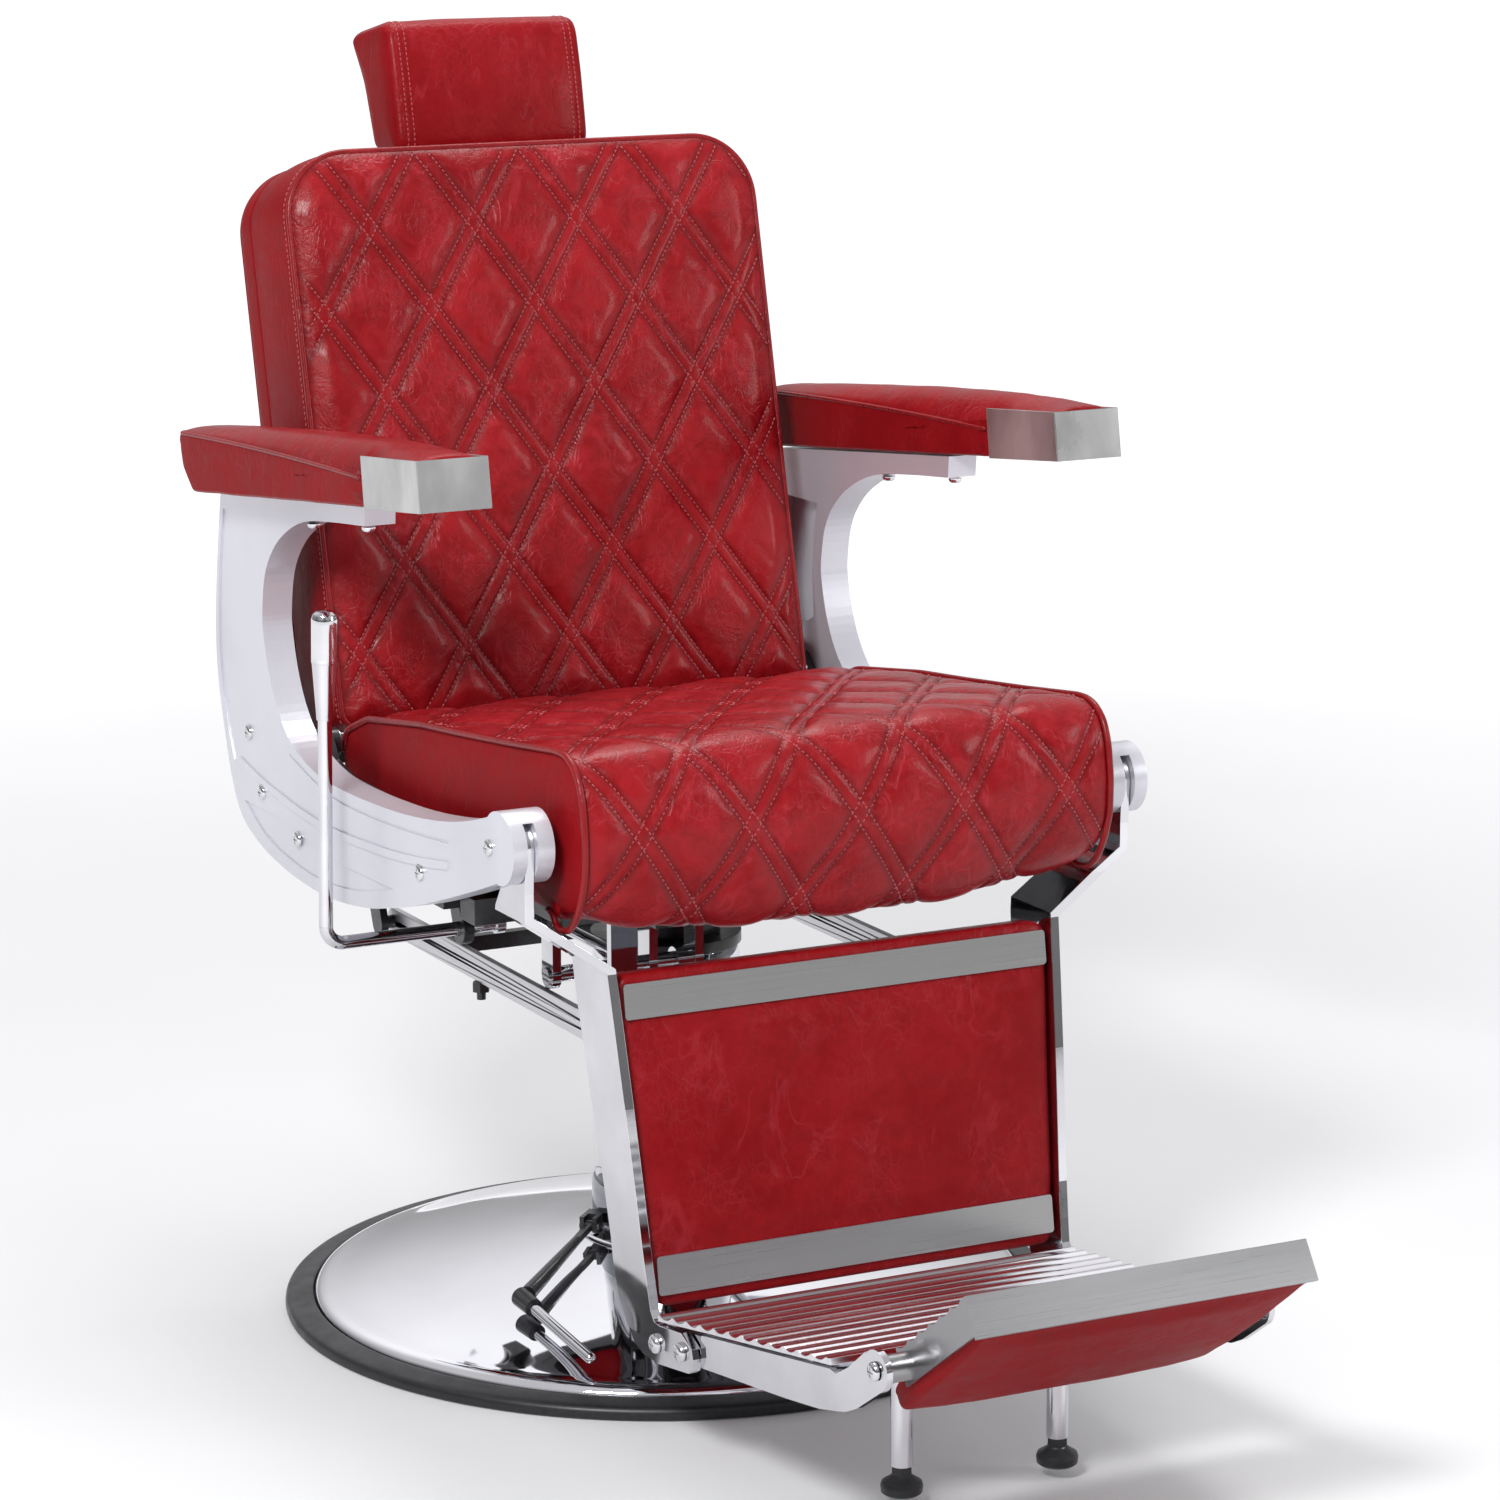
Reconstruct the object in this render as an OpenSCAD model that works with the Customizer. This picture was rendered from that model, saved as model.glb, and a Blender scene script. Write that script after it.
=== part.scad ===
// Hydraulic barber chair with quilted upholstery, tilting back, swinging leg
// rest and flip-over foot plate.  Units are millimetres.
// +Z is up, the chair faces -Y, the sitter's right hand is on -X.
// The origin is the centre of the round base, on the floor.

/* [Base and column] */
// Outer radius of the rubber ring round the base
ring_r = 342; // [334:1:348]
// Height of the dome where the column leaves it
dome_top = 62; // [58:1:64]
// Outer radius of the chrome column sleeve
sleeve_r = 65; // [62:0.5:66]
// Height of the black cap that closes the sleeve
cap_top = 335; // [333:1:336]
// Radius of the lifting ram
ram_r = 28; // [24:1:30]

/* [Seat] */
// Half of the width of the seat cushion
seat_hw = 245; // [236:1:246]
// Thickness of the cast side frames
side_t = 28; // [24:1:28]
// Radius of the hinge barrel at the front of each side frame
barrel_r = 30; // [29:0.5:31]

/* [Back and headrest] */
// Half of the width of the back cushion
back_hw = 230; // [220:1:234]
// Height of the back cushion along its slope
back_h = 510; // [490:1:512]
// Angle of the back from vertical, upright
back_lean = 13; // [12.5:0.1:13.2]
// Half of the width of the headrest
head_hw = 88; // [80:1:95]

/* [Leg rest] */
// Half of the distance between the inner faces of the leg bars, at the knee
leg_in = 201.5; // [201:0.1:202]
// Thickness of the leg bars
leg_t = 8; // [7:0.5:8.5]
// Pitch of the ribs of the foot tread
rib_pitch = 24; // [22:0.5:26]

/* [Levers] */
// Length of the chrome grip of the recline lever
grip_l = 94; // [80:1:96]
// Radius of the recline lever's rod
lever_r = 6; // [5:0.5:6]

/* [Hidden] */
$fn = 72;
e = 0.01;
side_out = 264 + side_t;      // outer face of the side frames
A = [150, 500];               // back pivot, y and z
D = [-300, 500];              // leg rest pivot
B = [203, 317];               // link pivot on the back levers
C = [-247, 317];              // link pivot on the leg rest
F = [-425.6, 103.7];          // front bolt of the leg bars
G = [-707.2, 170.7];          // flip panel pivot
strut_x = -125;               // gas spring line
strut_z = 363;
strut_r = 142.4;              // radius of the strut pin about the back pivot
P = [A[0] + strut_r * sin(22.5), A[1] - strut_r * cos(22.5)];
flip_a = 33.8;                // slope of the flip panel
pad_m = 0.104;                // slope of the arm tops
foot_x = 70.8;
foot_y = -564;

// ---------- helpers ----------
// a side profile in y and z, extruded along x
module yz(x0, x1) { translate([x0, 0, 0]) rotate([90, 0, 90]) linear_extrude(x1 - x0) children(); }
// a front profile in x and z, extruded along y
module xz(y0, y1) { translate([0, y1, 0]) rotate([90, 0, 0]) linear_extrude(y1 - y0) children(); }
// a round bar along x
module xrod(x0, x1, p, r) { translate([x0, p[0], p[1]]) rotate([0, 90, 0]) cylinder(r = r, h = x1 - x0); }
// the sloping frame of the back: local z runs up the back, local y to the rear
module back_place() { translate([0, 168, 506]) rotate([-back_lean, 0, 0]) children(); }
// the frame of the leg panel: local z up the panel, local y to the rear
module leg_place() { translate([0, -363, 125]) rotate([-8.94, 0, 0]) children(); }
// the frame of the flip panel: local y runs from the rear end to the front band, local z to the ribs
module flip_place() { translate([0, G[0], G[1]]) rotate([-flip_a, 0, 0]) mirror([0, 1, 0]) children(); }
// both sides of the chair
module both() { children(); mirror([1, 0, 0]) children(); }
// smooth curve through hand-picked points
function cr(a, b, c, d, t) = 0.5 * ((2 * b) + (c - a) * t + (2 * a - 5 * b + 4 * c - d) * t * t + (3 * b - a - 3 * c + d) * t * t * t);
function curve(p, n = 4) = [for (i = [0 : len(p) - 2]) for (j = [0 : n - 1])
    cr(p[max(i - 1, 0)], p[i], p[i + 1], p[min(i + 2, len(p) - 1)], j / n), p[len(p) - 1]];
// rounded rectangle, r for the two upper corners and q for the two lower ones
module plate2(w, h, r, q) {
  polygon([for (a = [0 : 10 : 90]) [w - r + r * cos(a), h - r + r * sin(a)],
           for (a = [90 : 10 : 180]) [-w + r + r * cos(a), h - r + r * sin(a)],
           for (a = [180 : 15 : 270]) [-w + q + q * cos(a), q + q * sin(a)],
           for (a = [270 : 15 : 360]) [w - q + q * cos(a), q + q * sin(a)]]);
}
// pan-head screw on a face that looks along +x, head foot at the origin
module pan_screw(r, h, shank_r, shank_l) {
  difference() {
    rotate([0, 90, 0]) rotate_extrude() polygon([[0, 0], [r, 0], [r, h * 0.35], [r * 0.9, h * 0.66], [r * 0.68, h * 0.9], [r * 0.4, h], [0, h]]);
    translate([h - 1, -r * 0.55, -0.7]) cube([3, r * 1.1, 1.4]);
    translate([h - 1, -0.7, -r * 0.55]) cube([3, 1.4, r * 1.1]);
  }
  if (shank_l > 0) translate([-shank_l, 0, 0]) rotate([0, 90, 0]) cylinder(r = shank_r, h = shank_l + 0.2);
}

// ---------- base ----------
module base_plate() { color("dimgray") cylinder(r = ring_r - 20, h = 6); }

module base_ring() {
  color([0.06, 0.06, 0.07]) rotate_extrude($fn = 128) polygon([
    [ring_r - 20, 0], [ring_r - 2, 0], [ring_r, 2], [ring_r, 7.5], [ring_r - 1, 9.4], [ring_r - 3, 10.4],
    [ring_r - 24, 13], [ring_r - 25, 12], [ring_r - 25, 6], [ring_r - 20, 6]]);
}

dome_rim = ring_r - 25.5;
dome_pts = curve([[dome_rim, 10], [dome_rim - 1, 13.5], [dome_rim - 4, 17], [dome_rim - 9, 19.6], [dome_rim - 15, 21],
  [dome_rim - 26, 23.4], [250, 33], [200, 43], [150, 51.5], [110, dome_top - 4.6], [80, dome_top]], 3);
module base_dome() {
  color([0.85, 0.87, 0.9]) rotate_extrude($fn = 128) polygon(concat(
    [[dome_rim, 6]], dome_pts, [[70, dome_top + 0.6], [70, dome_top - 1.4], [80, dome_top - 2]],
    [for (i = [len(dome_pts) - 2 : -1 : 12]) dome_pts[i] - [0.4, 2]],
    [[dome_rim - 22, 19.6], [dome_rim - 9, 17.4], [dome_rim - 4, 14], [dome_rim - 2, 11], [dome_rim - 2, 6]]));
}
module dome_collar() {
  color([0.8, 0.82, 0.85]) rotate_extrude($fn = 96) polygon([
    [68.3, dome_top + 0.8], [78.5, dome_top + 0.6], [79.5, dome_top + 1.4], [79, dome_top + 4], [75, dome_top + 7],
    [71, dome_top + 11], [68.3, dome_top + 13]]);
}
module pump_housing() {
  color([0.55, 0.57, 0.6]) difference() {
    rotate_extrude($fn = 96) polygon([
      [47, 6], [95, 6], [95, 16], [72, 18], [68, 22], [68, 106], [66.5, 110], [47, 110]]);
    for (a = [45 : 90 : 315]) rotate(a) translate([83, 0, 5]) cylinder(r = 5.2, h = 14, $fn = 32);
  }
}
module base_bolts() {
  color("silver") for (a = [45 : 90 : 315]) rotate(a) translate([83, 0, 6]) {
    cylinder(r = 5, h = 12.5, $fn = 32);
    translate([0, 0, 12.1]) cylinder(r = 8.5, h = 6.5, $fn = 6);
  }
}
module pump_cylinder() {
  color([0.4, 0.4, 0.42]) difference() {
    translate([0, 0, 8]) cylinder(r = 46, h = 310);
    translate([0, 0, 20]) cylinder(r = 40, h = 300);
  }
}
module gland_bush() {
  color([0.7, 0.55, 0.25]) difference() {
    translate([0, 0, 296]) cylinder(r = 40, h = 22);
    translate([0, 0, 290]) cylinder(r = ram_r + 0.05, h = 40);
  }
}
module column_sleeve() {
  color([0.85, 0.87, 0.9]) difference() {
    translate([0, 0, 110]) cylinder(r = sleeve_r, h = cap_top - 120, $fn = 96);
    translate([0, 0, 109]) cylinder(r = sleeve_r - 2, h = cap_top, $fn = 96);
  }
}
module column_cap() {
  color([0.08, 0.08, 0.09]) difference() {
    union() {
      translate([0, 0, cap_top - 10]) cylinder(r = sleeve_r + 1.5, h = 10);
      translate([0, 0, cap_top - 16.5]) cylinder(r = sleeve_r - 2.3, h = 7);
    }
    translate([0, 0, cap_top - 30]) cylinder(r = ram_r + 0.05, h = 40);
  }
}

// ---------- pump pedal ----------
pv = [-82, -10, 76];          // pedal pivot
module pedal_fulcrum() {
  color([0.2, 0.2, 0.22]) translate(pv) rotate([0, 0, 225]) difference() {
    union() {
      translate([-22, -8, -0.4]) cube([14.4, 16, 9]);
      translate([-8, -8, -5]) cube([12.5, 4, 13.6]);
      translate([-8, 4, -5]) cube([12.5, 4, 13.6]);
      rotate([90, 0, 0]) cylinder(r = 3, h = 18, center = true);
    }
    translate([0, 0, -pv[2]]) rotate([0, 0, -225]) translate([-pv[0], -pv[1], 0]) rotate_extrude($fn = 96) polygon([
      [0, 50], [81, 50], [81, dome_top + 5], [76.5, dome_top + 7.5], [72.5, dome_top + 11.5], [69, dome_top + 13.5], [68.2, dome_top + 14],
      [68.2, dome_top + 34], [0, dome_top + 34]]);
  }
}
module pump_arm() {
  color([0.05, 0.05, 0.06]) {
    difference() {
      translate(pv) rotate([0, 0, 222.3]) rotate([0, 8.2, 0]) union() {
        rotate([90, 0, 0]) cylinder(r = 5, h = 6.6, center = true);
        translate([0, -2.8, -3]) cube([141, 5.6, 6]);
        translate([30, 0, 0]) rotate([0, 90, 0]) cylinder(r1 = 4.1, r2 = 7.2, h = 110);
      }
      translate(pv) rotate([0, 0, 225]) rotate([90, 0, 0]) cylinder(r = 3.05, h = 30, center = true);
    }
    difference() {
      translate([-190, -101, 53.7]) rotate([97, 0, 2]) cylinder(r1 = 9, r2 = 8, h = 25);
      translate([-190, -110, 52.6]) rotate([97, 0, 2]) cylinder(r = 4.9, h = 20);
    }
  }
}
module pedal_rod() {
  color([0.7, 0.7, 0.72]) {
    translate([-190, -110.2, 52.6]) rotate([97, 0, 2]) {
      cylinder(r = 4.8, h = 122);
      translate([0, 0, 122]) sphere(r = 4.8, $fn = 48);
    }
  }
}

// ---------- lifting column ----------
module lift_ram() { color([0.88, 0.88, 0.9]) translate([0, 0, 60]) cylinder(r = ram_r, h = 324); }
module ram_piston() {
  color([0.3, 0.3, 0.32]) difference() {
    translate([0, 0, 34]) cylinder(r = 39.95, h = 26);
    translate([0, 0, 44]) difference() { cylinder(r = 41, h = 6); translate([0, 0, -1]) cylinder(r = 36, h = 8); }
  }
}

// ---------- seat structure ----------
module swivel_hub() {
  color([0.12, 0.12, 0.13]) difference() {
    union() {
      translate([0, 0, cap_top + 2]) cylinder(r = 48, h = 396 - cap_top - 2);
      translate([-135, -130, 396]) cube([270, 190, 8]);
    }
    translate([0, 0, cap_top - 10]) cylinder(r = ram_r + 0.05, h = 395 - cap_top);
  }
}
module side_plate2() {
  polygon([[-262, 470], [-138, 431], [-20, 403], [62, 394], [132, 395], [222, 408], [264, 426], [286, 456],
    [292, 492], [284, 520], [262, 528], [232, 520], [212, 502], [190, 500], [168, 509], [150, 512], [134, 509],
    [120, 490], [84, 482], [-19, 480], [-107, 484], [-188, 494], [-262, 505]]);
}
screw_yz = [[246, 495], [217, 446], [133, 420], [-140, 447]];
module seat_frame() {
  color([0.1, 0.1, 0.11]) {
    for (y = [-170, -105, 10]) translate([-257, y, 404]) cube([514, 30, 22]);
    translate([-165, 84, 404]) cube([330, 20, 22]);
    both() translate([100, -250, 404]) cube([30, 350, 22]);
    // low bar behind the column on two hangers
    translate([-164, 88, 311]) cube([328, 12, 14]);
    both() translate([152, 88, 312]) cube([8, 12, 94]);
    translate([-130, -250, 404]) cube([260, 24, 22]);
    both() difference() {
      yz(256.5, 263.9) side_plate2();
      for (s = screw_yz) xrod(250, 270, s, 3.3);
      xrod(250, 270, A, 8.1);
    }
  }
}
module seat_board() { color([0.12, 0.11, 0.1]) translate([-232, -288, 426]) cube([464, 413, 11]); }
module seat_cushion() {
  color([0.6, 0.08, 0.12]) yz(-seat_hw, seat_hw) polygon([
    [-345, 461], [-328, 443], [-311, 431.5], [-291, 431.5], [-290, 437.3], [138, 437.3], [150, 462], [154, 490], [141, 508.7], [93, 527.6],
    [-26, 547], [-108, 557], [-212, 569], [-300, 579], [-318, 579], [-331, 574], [-345, 563], [-354, 543],
    [-359, 512], [-358, 483]]);
}

// ---------- side frames ----------
outer_pts = curve([[303, 703], [308, 682], [316, 642], [322, 605], [325, 566], [321, 528], [309, 486], [293, 444],
  [270, 414], [225, 396], [178, 387.5], [132, 383], [62, 382], [-19, 391], [-80, 404], [-138, 419], [-242, 452], [-300, 472]]);
inner_pts = curve([[-300, 528], [-245, 512], [-188, 500], [-107, 490], [-19, 485], [47, 484.5], [84, 487], [118, 494],
  [153, 508], [179, 531], [196, 559], [206, 591], [207, 612], [199, 644], [180, 668], [150, 688], [104, 705], [40, 714], [-34, 721]]);
module side2() { polygon(concat(outer_pts, inner_pts, [[-36, 736.5 + pad_m * 36], [296, 736.5 - pad_m * 296]])); }
// shallow casting details of the outer face
rib_pts = curve([[268, 462], [200, 450], [80, 440], [-40, 444], [-130, 452], [-200, 462]], 3);
lens_pts = concat(curve([[262, 430], [215, 408], [150, 397], [80, 394], [0, 402], [-80, 420]], 3), [[60, 417], [180, 430]]);
groove_pts = curve([[150, 494], [60, 476], [-40, 475], [-130, 480], [-200, 486]], 3);
upper_pts = concat(curve([[298, 690], [310, 642], [315, 600], [317, 566], [312, 530], [300, 490], [286, 462]], 3),
  curve([[270, 476], [240, 520], [222, 560], [219, 600], [222, 640], [236, 676], [250, 694]], 3));
module side_frame() {
  difference() {
    union() {
      yz(264, side_out - 1.4) side2();
      intersection() {
        yz(side_out - 1.5, side_out) side2();
        yz(side_out - 2, side_out + 1) difference() {
          polygon([[-330, 360], [340, 360], [340, 760], [-330, 760]]);
          polygon(upper_pts);
          polygon(lens_pts);
        }
      }
      xrod(256, side_out, D, barrel_r);
      yz(side_out - 1.5, side_out + 1.6) polygon(concat(rib_pts, [for (i = [len(rib_pts) - 1 : -1 : 0]) rib_pts[i] + [0, 7]]));
    }
    // slot for the leg bar
    yz(270.5, 279.6) polygon([[-276, 505], [-264, 468], [-252, 440], [-380, 440], [-380, 506], [-300, 528]]);
    xrod(270.5, 279.6, D, 26);
    xrod(250, side_out - 2, D, 8.1);
    for (s = screw_yz) {
      xrod(260, 300, s, 3.3);
      xrod(side_out, 300, s, 7.6);
    }
    xrod(side_out - 12, 300, [-282, 497], 3.3);
    xrod(side_out, 300, [-282, 497], 7.6);
    // thin arc groove
    yz(side_out - 1, side_out + 2) polygon(concat(groove_pts, [for (i = [len(groove_pts) - 1 : -1 : 0]) groove_pts[i] - [0, 2.4]]));
    // hollow of the inner side
    yz(260, 281) polygon([[292, 664], [298, 642], [306, 600], [309, 566], [304, 536], [288, 534], [262, 540], [238, 548],
      [222, 556], [226, 600], [222, 640], [214, 664]]);
  }
}
module side_frame_left() { color([0.85, 0.86, 0.9]) mirror([1, 0, 0]) side_frame(); }
module side_frame_right() { color([0.85, 0.86, 0.9]) side_frame(); }
module frame_screws() {
  color("silver") both() {
    for (s = screw_yz) translate([side_out + 0.05, s[0], s[1]]) pan_screw(7, 3.6, 3, side_t + 7);
    translate([side_out + 0.05, -282, 497]) pan_screw(7, 3.6, 3, 11);
    translate([256.3, 228, 505]) mirror([1, 0, 0]) pan_screw(8, 4.5, 3, 0);
  }
}
module leg_hinge_pins() { color("silver") both() xrod(257, side_out - 3, D, 8); }
module back_pivot_bolts() {
  color("silver") both() {
    xrod(247.5, 263.5, A, 8);
    xrod(246.4, 247.95, A, 11.5);
  }
}

// ---------- arm rests ----------
module arm_pad() {
  yz(262.8, 322.2) polygon([[288, 737 - pad_m * 288], [312, 728], [318, 748], [314, 755.3], [-220.5, 802.4], [-227, 760.7]]);
}
module arm_cap() {
  difference() {
    yz(261, 324) polygon([[-112, 748.7], [-106, 792], [-222.5, 802.6], [-229.5, 761]]);
    yz(262.6, 322.4) polygon([[-100, 740], [-94, 802], [-220.8, 810], [-227.4, 759], [-220, 750]]);
  }
}
module arm_pad_left() { color([0.6, 0.08, 0.12]) mirror([1, 0, 0]) arm_pad(); }
module arm_pad_right() { color([0.6, 0.08, 0.12]) arm_pad(); }
module arm_cap_left() { color([0.75, 0.75, 0.76]) mirror([1, 0, 0]) arm_cap(); }
module arm_cap_right() { color([0.75, 0.75, 0.76]) arm_cap(); }
module arm_screws() {
  color("silver") both() {
    translate([281, -17, 717.4]) rotate([0, 90, 0]) pan_screw(6, 4.5, 3, 0);
    translate([281, 106, 702.8]) rotate([0, 90, 0]) pan_screw(6, 4.5, 3, 0);
  }
}

// ---------- under the seat ----------
module lever_bracket() {
  color([0.08, 0.08, 0.09]) difference() {
    yz(-199, -189) union() {
      polygon([[-12, 358], [12, 358], [30, 404], [10, 404]]);
      translate([0, 358]) circle(r = 14);
    }
    xrod(-205, -180, [0, 358], lever_r + 0.05);
  }
}
module cross_rod() {
  color([0.75, 0.76, 0.78]) {
    xrod(-157, -12, [-88, 331], 7);
    xrod(-36, -20, [-88, 331], 11);
  }
  color([0.08, 0.08, 0.09]) difference() {
    union() {
      for (x = [-155, -64, -20]) yz(x, x + 8) union() {
        polygon([[-100, x < -140 ? 404 : 396], [-76, x < -140 ? 404 : 396], [-77, 331], [-99, 331]]);
        translate([-88, 331]) circle(r = 12);
      }
    }
    xrod(-170, 0, [-88, 331], 7);
  }
}
module strut_rod() {
  color([0.85, 0.85, 0.87]) {
    translate([strut_x, 55, strut_z]) rotate([90, 0, 0]) cylinder(r = 5, h = 226);
    translate([strut_x, 55, strut_z]) rotate([90, 0, 0]) cylinder(r = 9.4, h = 8);
    difference() {
      translate([strut_x - 12, -178, strut_z - 13]) cube([24, 8, 404 - strut_z + 13]);
    }
  }
}
module strut_tube() {
  color([0.1, 0.1, 0.11]) {
    difference() {
      translate([strut_x, 180, strut_z]) rotate([90, 0, 0]) cylinder(r = 11, h = 205);
      translate([strut_x, 172, strut_z]) rotate([90, 0, 0]) cylinder(r = 9.5, h = 192);
      translate([strut_x, 190, strut_z]) rotate([90, 0, 0]) translate([0, 0, 18]) cylinder(r = 5.05, h = 240);
    }
    difference() {
      translate([strut_x - 10, 178, strut_z - 21]) cube([20, P[0] + 16 - 178, 42]);
      translate([strut_x - 20, P[0] - 7, strut_z - 5.6]) cube([40, 14, 11.2]);
      xrod(strut_x - 20, strut_x + 20, [P[0], strut_z - 5.6], 7);
      xrod(strut_x - 20, strut_x + 20, [P[0], strut_z + 5.6], 7);
    }
  }
}
module recline_lever() {
  color([0.8, 0.8, 0.83]) {
    xrod(-305, -157, [0, 358], lever_r);
    xrod(-165, -157, [0, 358], 8.5);
    translate([-305, 0, 374]) rotate([90, 0, 0]) rotate_extrude(angle = 90, start = 180) translate([16, 0]) circle(r = lever_r, $fn = 36);
    translate([-321, 0, 374]) rotate([0, 1.1, 0]) cylinder(r = lever_r, h = 184);
  }
}
module lever_grip() {
  color([0.85, 0.85, 0.87]) translate([-317.4, 0, 553]) rotate([0, 1.1, 0]) rotate_extrude($fn = 64) polygon([
    [0, 5.3], [0, grip_l], [7, grip_l - 1], [10, grip_l - 3.5], [11.4, grip_l - 8], [11.5, 50], [11, 48], [7.2, 0], [lever_r + 0.05, 0], [lever_r + 0.05, 5.3]]);
}

// ---------- back ----------
module bar2(a, b, w) {
  d = b - a; l = norm(d); n = [-d[1], d[0]] / l * w;
  polygon([a + n, b + n, b - n, a - n]);
  translate(a) circle(r = w);
  translate(b) circle(r = w);
}
module back_frame() {
  color([0.1, 0.1, 0.11]) {
    both() {
      difference() {
        yz(248, 255) union() { bar2(A, [262, 468], 13); }
        xrod(240, 260, A, 8.05);
      }
      // levers down to the link bars
      yz(184, 191) union() { bar2([262, 468], B, 11); }
      xrod(169, 191, B, 6);
    }
    translate([-254, 251, 457]) cube([508, 22, 22]);
    difference() {
      yz(-148, -142) union() { bar2([262, 468], P, 11); }
    }
    xrod(-147, -108, P, 6);
    back_place() translate([-110, 110, -14]) cube([220, 6, 254]);
  }
}
module back_board() {
  color([0.5, 0.4, 0.28]) back_place() translate([0, 109, 0]) rotate([90, 0, 0]) linear_extrude(8)
    translate([0, 8]) plate2(back_hw - 12, back_h - 20, 45, 12);
}
module back_cushion() {
  color([0.6, 0.08, 0.12]) back_place() translate([0, 100, 0]) rotate([90, 0, 0]) linear_extrude(100) plate2(back_hw, back_h, 58, 14);
}
module back_panel() {
  color([0.55, 0.07, 0.11]) back_place() difference() {
    translate([0, 128, 0]) rotate([90, 0, 0]) linear_extrude(27.5) plate2(back_hw, back_h, 58, 14);
    translate([0, 121, 0]) rotate([90, 0, 0]) linear_extrude(40) translate([0, 6]) plate2(back_hw - 9, back_h - 14, 48, 10);
    translate([-111, 90, -5]) cube([222, 31, 40]);
    both() translate([33, 111, back_h - 30]) cube([29, 8, 60]);
  }
}
module headrest_guides() {
  color([0.75, 0.75, 0.76]) back_place() both() difference() {
    translate([31, 109, 380]) cube([33, 11.8, 112]);
    translate([34.9, 111.9, 370]) cube([25.2, 6.2, 140]);
  }
}

// ---------- headrest ----------
module headrest_posts() {
  color([0.85, 0.85, 0.87]) back_place() both() translate([35, 112, 330]) cube([25, 6, 250]);
}
module headrest_pad() {
  color([0.6, 0.08, 0.12]) difference() {
    yz(-head_hw, head_hw) polygon([[357, 996], [360, 991], [420, 991], [424, 1003], [444, 1050], [472, 1088], [474, 1096], [466, 1103],
      [420, 1113], [396, 1118], [386, 1116], [379, 1108], [368, 1062]]);
    back_place() both() translate([34.7, 111.7, 400]) cube([25.6, 6.6, 181]);
  }
}
module headrest_plate() {
  color([0.75, 0.75, 0.76]) both() {
    yz(20, 72) polygon([[424.6, 1003.5], [427, 1002.5], [446.6, 1049.5], [444.4, 1050.4]]);
    for (q = [[430.5, 1011], [441, 1036]]) translate([64, q[0], q[1]]) rotate([-23, 0, 0]) rotate([0, 0, 90]) pan_screw(4, 3, 2, 0);
  }
}

// ---------- linkage ----------
module link_bar() {
  difference() {
    union() {
      yz(170, 176) polygon([B + [0, 12.5], B - [0, 12.5], C - [0, 12.5], C + [0, 12.5]]);
      xrod(170, 176, B, 12.5);
      xrod(170, 176, C, 12.5);
    }
    xrod(160, 180, B, 6.05);
    xrod(160, 180, C, 7);
  }
}
module link_bar_left() { color([0.82, 0.83, 0.86]) mirror([1, 0, 0]) link_bar(); }
module link_stop() {
  color([0.08, 0.08, 0.09]) translate([-173, 12, 296]) {
    cylinder(r = 8, h = 8.45, $fn = 6);
    translate([0, 0, -7]) cylinder(r = 4, h = 7.5);
  }
}
module link_bar_right() { color([0.82, 0.83, 0.86]) link_bar(); }

// ---------- leg rest ----------
leg_out = leg_in + leg_t;
leg_low = leg_in - 15;        // the bars close in towards the floor
function bar_in(z) = leg_low + (leg_in - leg_low) * (z - 95) / 301;
module leg_bar() {
  difference() {
    intersection() {
      xz(-500, -200) polygon([[279, 530], [279, 441], [leg_out, 392.5], [leg_low + leg_t, 95], [leg_low + leg_t, 60], [leg_low, 60],
        [leg_low, 95], [leg_in, 396], [271, 445], [271, 530]]);
      yz(180, 290) union() {
        polygon([[-323, 500], [-321, 465], [-321, 425], [-325, 392], [-336, 330], [-344, 284], [-353.5, 223], [-361, 172.6],
          [-366.5, 142], [-370.5, 122], [-376, 114.3], [-386, 113.6], [-426, 119.5], [-444, 111], [-445.7, 102.9], [-442, 92], [-436, 88.5],
          [-381, 79.8], [-353, 80], [-337, 85], [-322, 98], [-310, 115], [-303, 145], [-301, 166], [-293.6, 207], [-282.6, 260], [-271, 314], [-263, 352],
          [-258, 385], [-257.5, 410], [-260, 432], [-263, 446], [-272, 459], [-277, 492]]);
        translate(D) circle(r = 23);
      }
    }
    xrod(265, 285, D, 8.05);
    xrod(leg_low - 5, leg_low + leg_t + 8, F, 5.3);
    xrod(leg_low - 5, leg_low + leg_t + 8, [-378.9, 96.5], 5.3);
  }
}
module leg_bar_left() { color([0.85, 0.86, 0.88]) mirror([1, 0, 0]) leg_bar(); }
module leg_bar_right() { color([0.85, 0.86, 0.88]) leg_bar(); }
module leg_crossbars() {
  color([0.1, 0.1, 0.11]) {
    leg_place() translate([-198.7, 26.5, 222]) cube([397.4, 8, 30]);
    leg_place() translate([-188.6, 26.5, 16]) cube([377.2, 8, 30]);
    // gussets under the tread
    both() {
      yz(178, 184) union() {
        polygon([[-296.5, 371], [-289, 376], [-252, 330], [-236, 312], [-256, 304], [-301, 340]]);
        translate(C) circle(r = 13);
      }
      xrod(168, 180, C, 6);
    }
  }
}
module leg_panel() {
  color([0.6, 0.08, 0.12]) leg_place() translate([0, 26, -5]) rotate([90, 0, 0]) linear_extrude(26)
    polygon([[-178, 0], [178, 0], [186, 8], [199, 265], [191, 273], [-191, 273], [-199, 265], [-186, 8]]);
}
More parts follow.
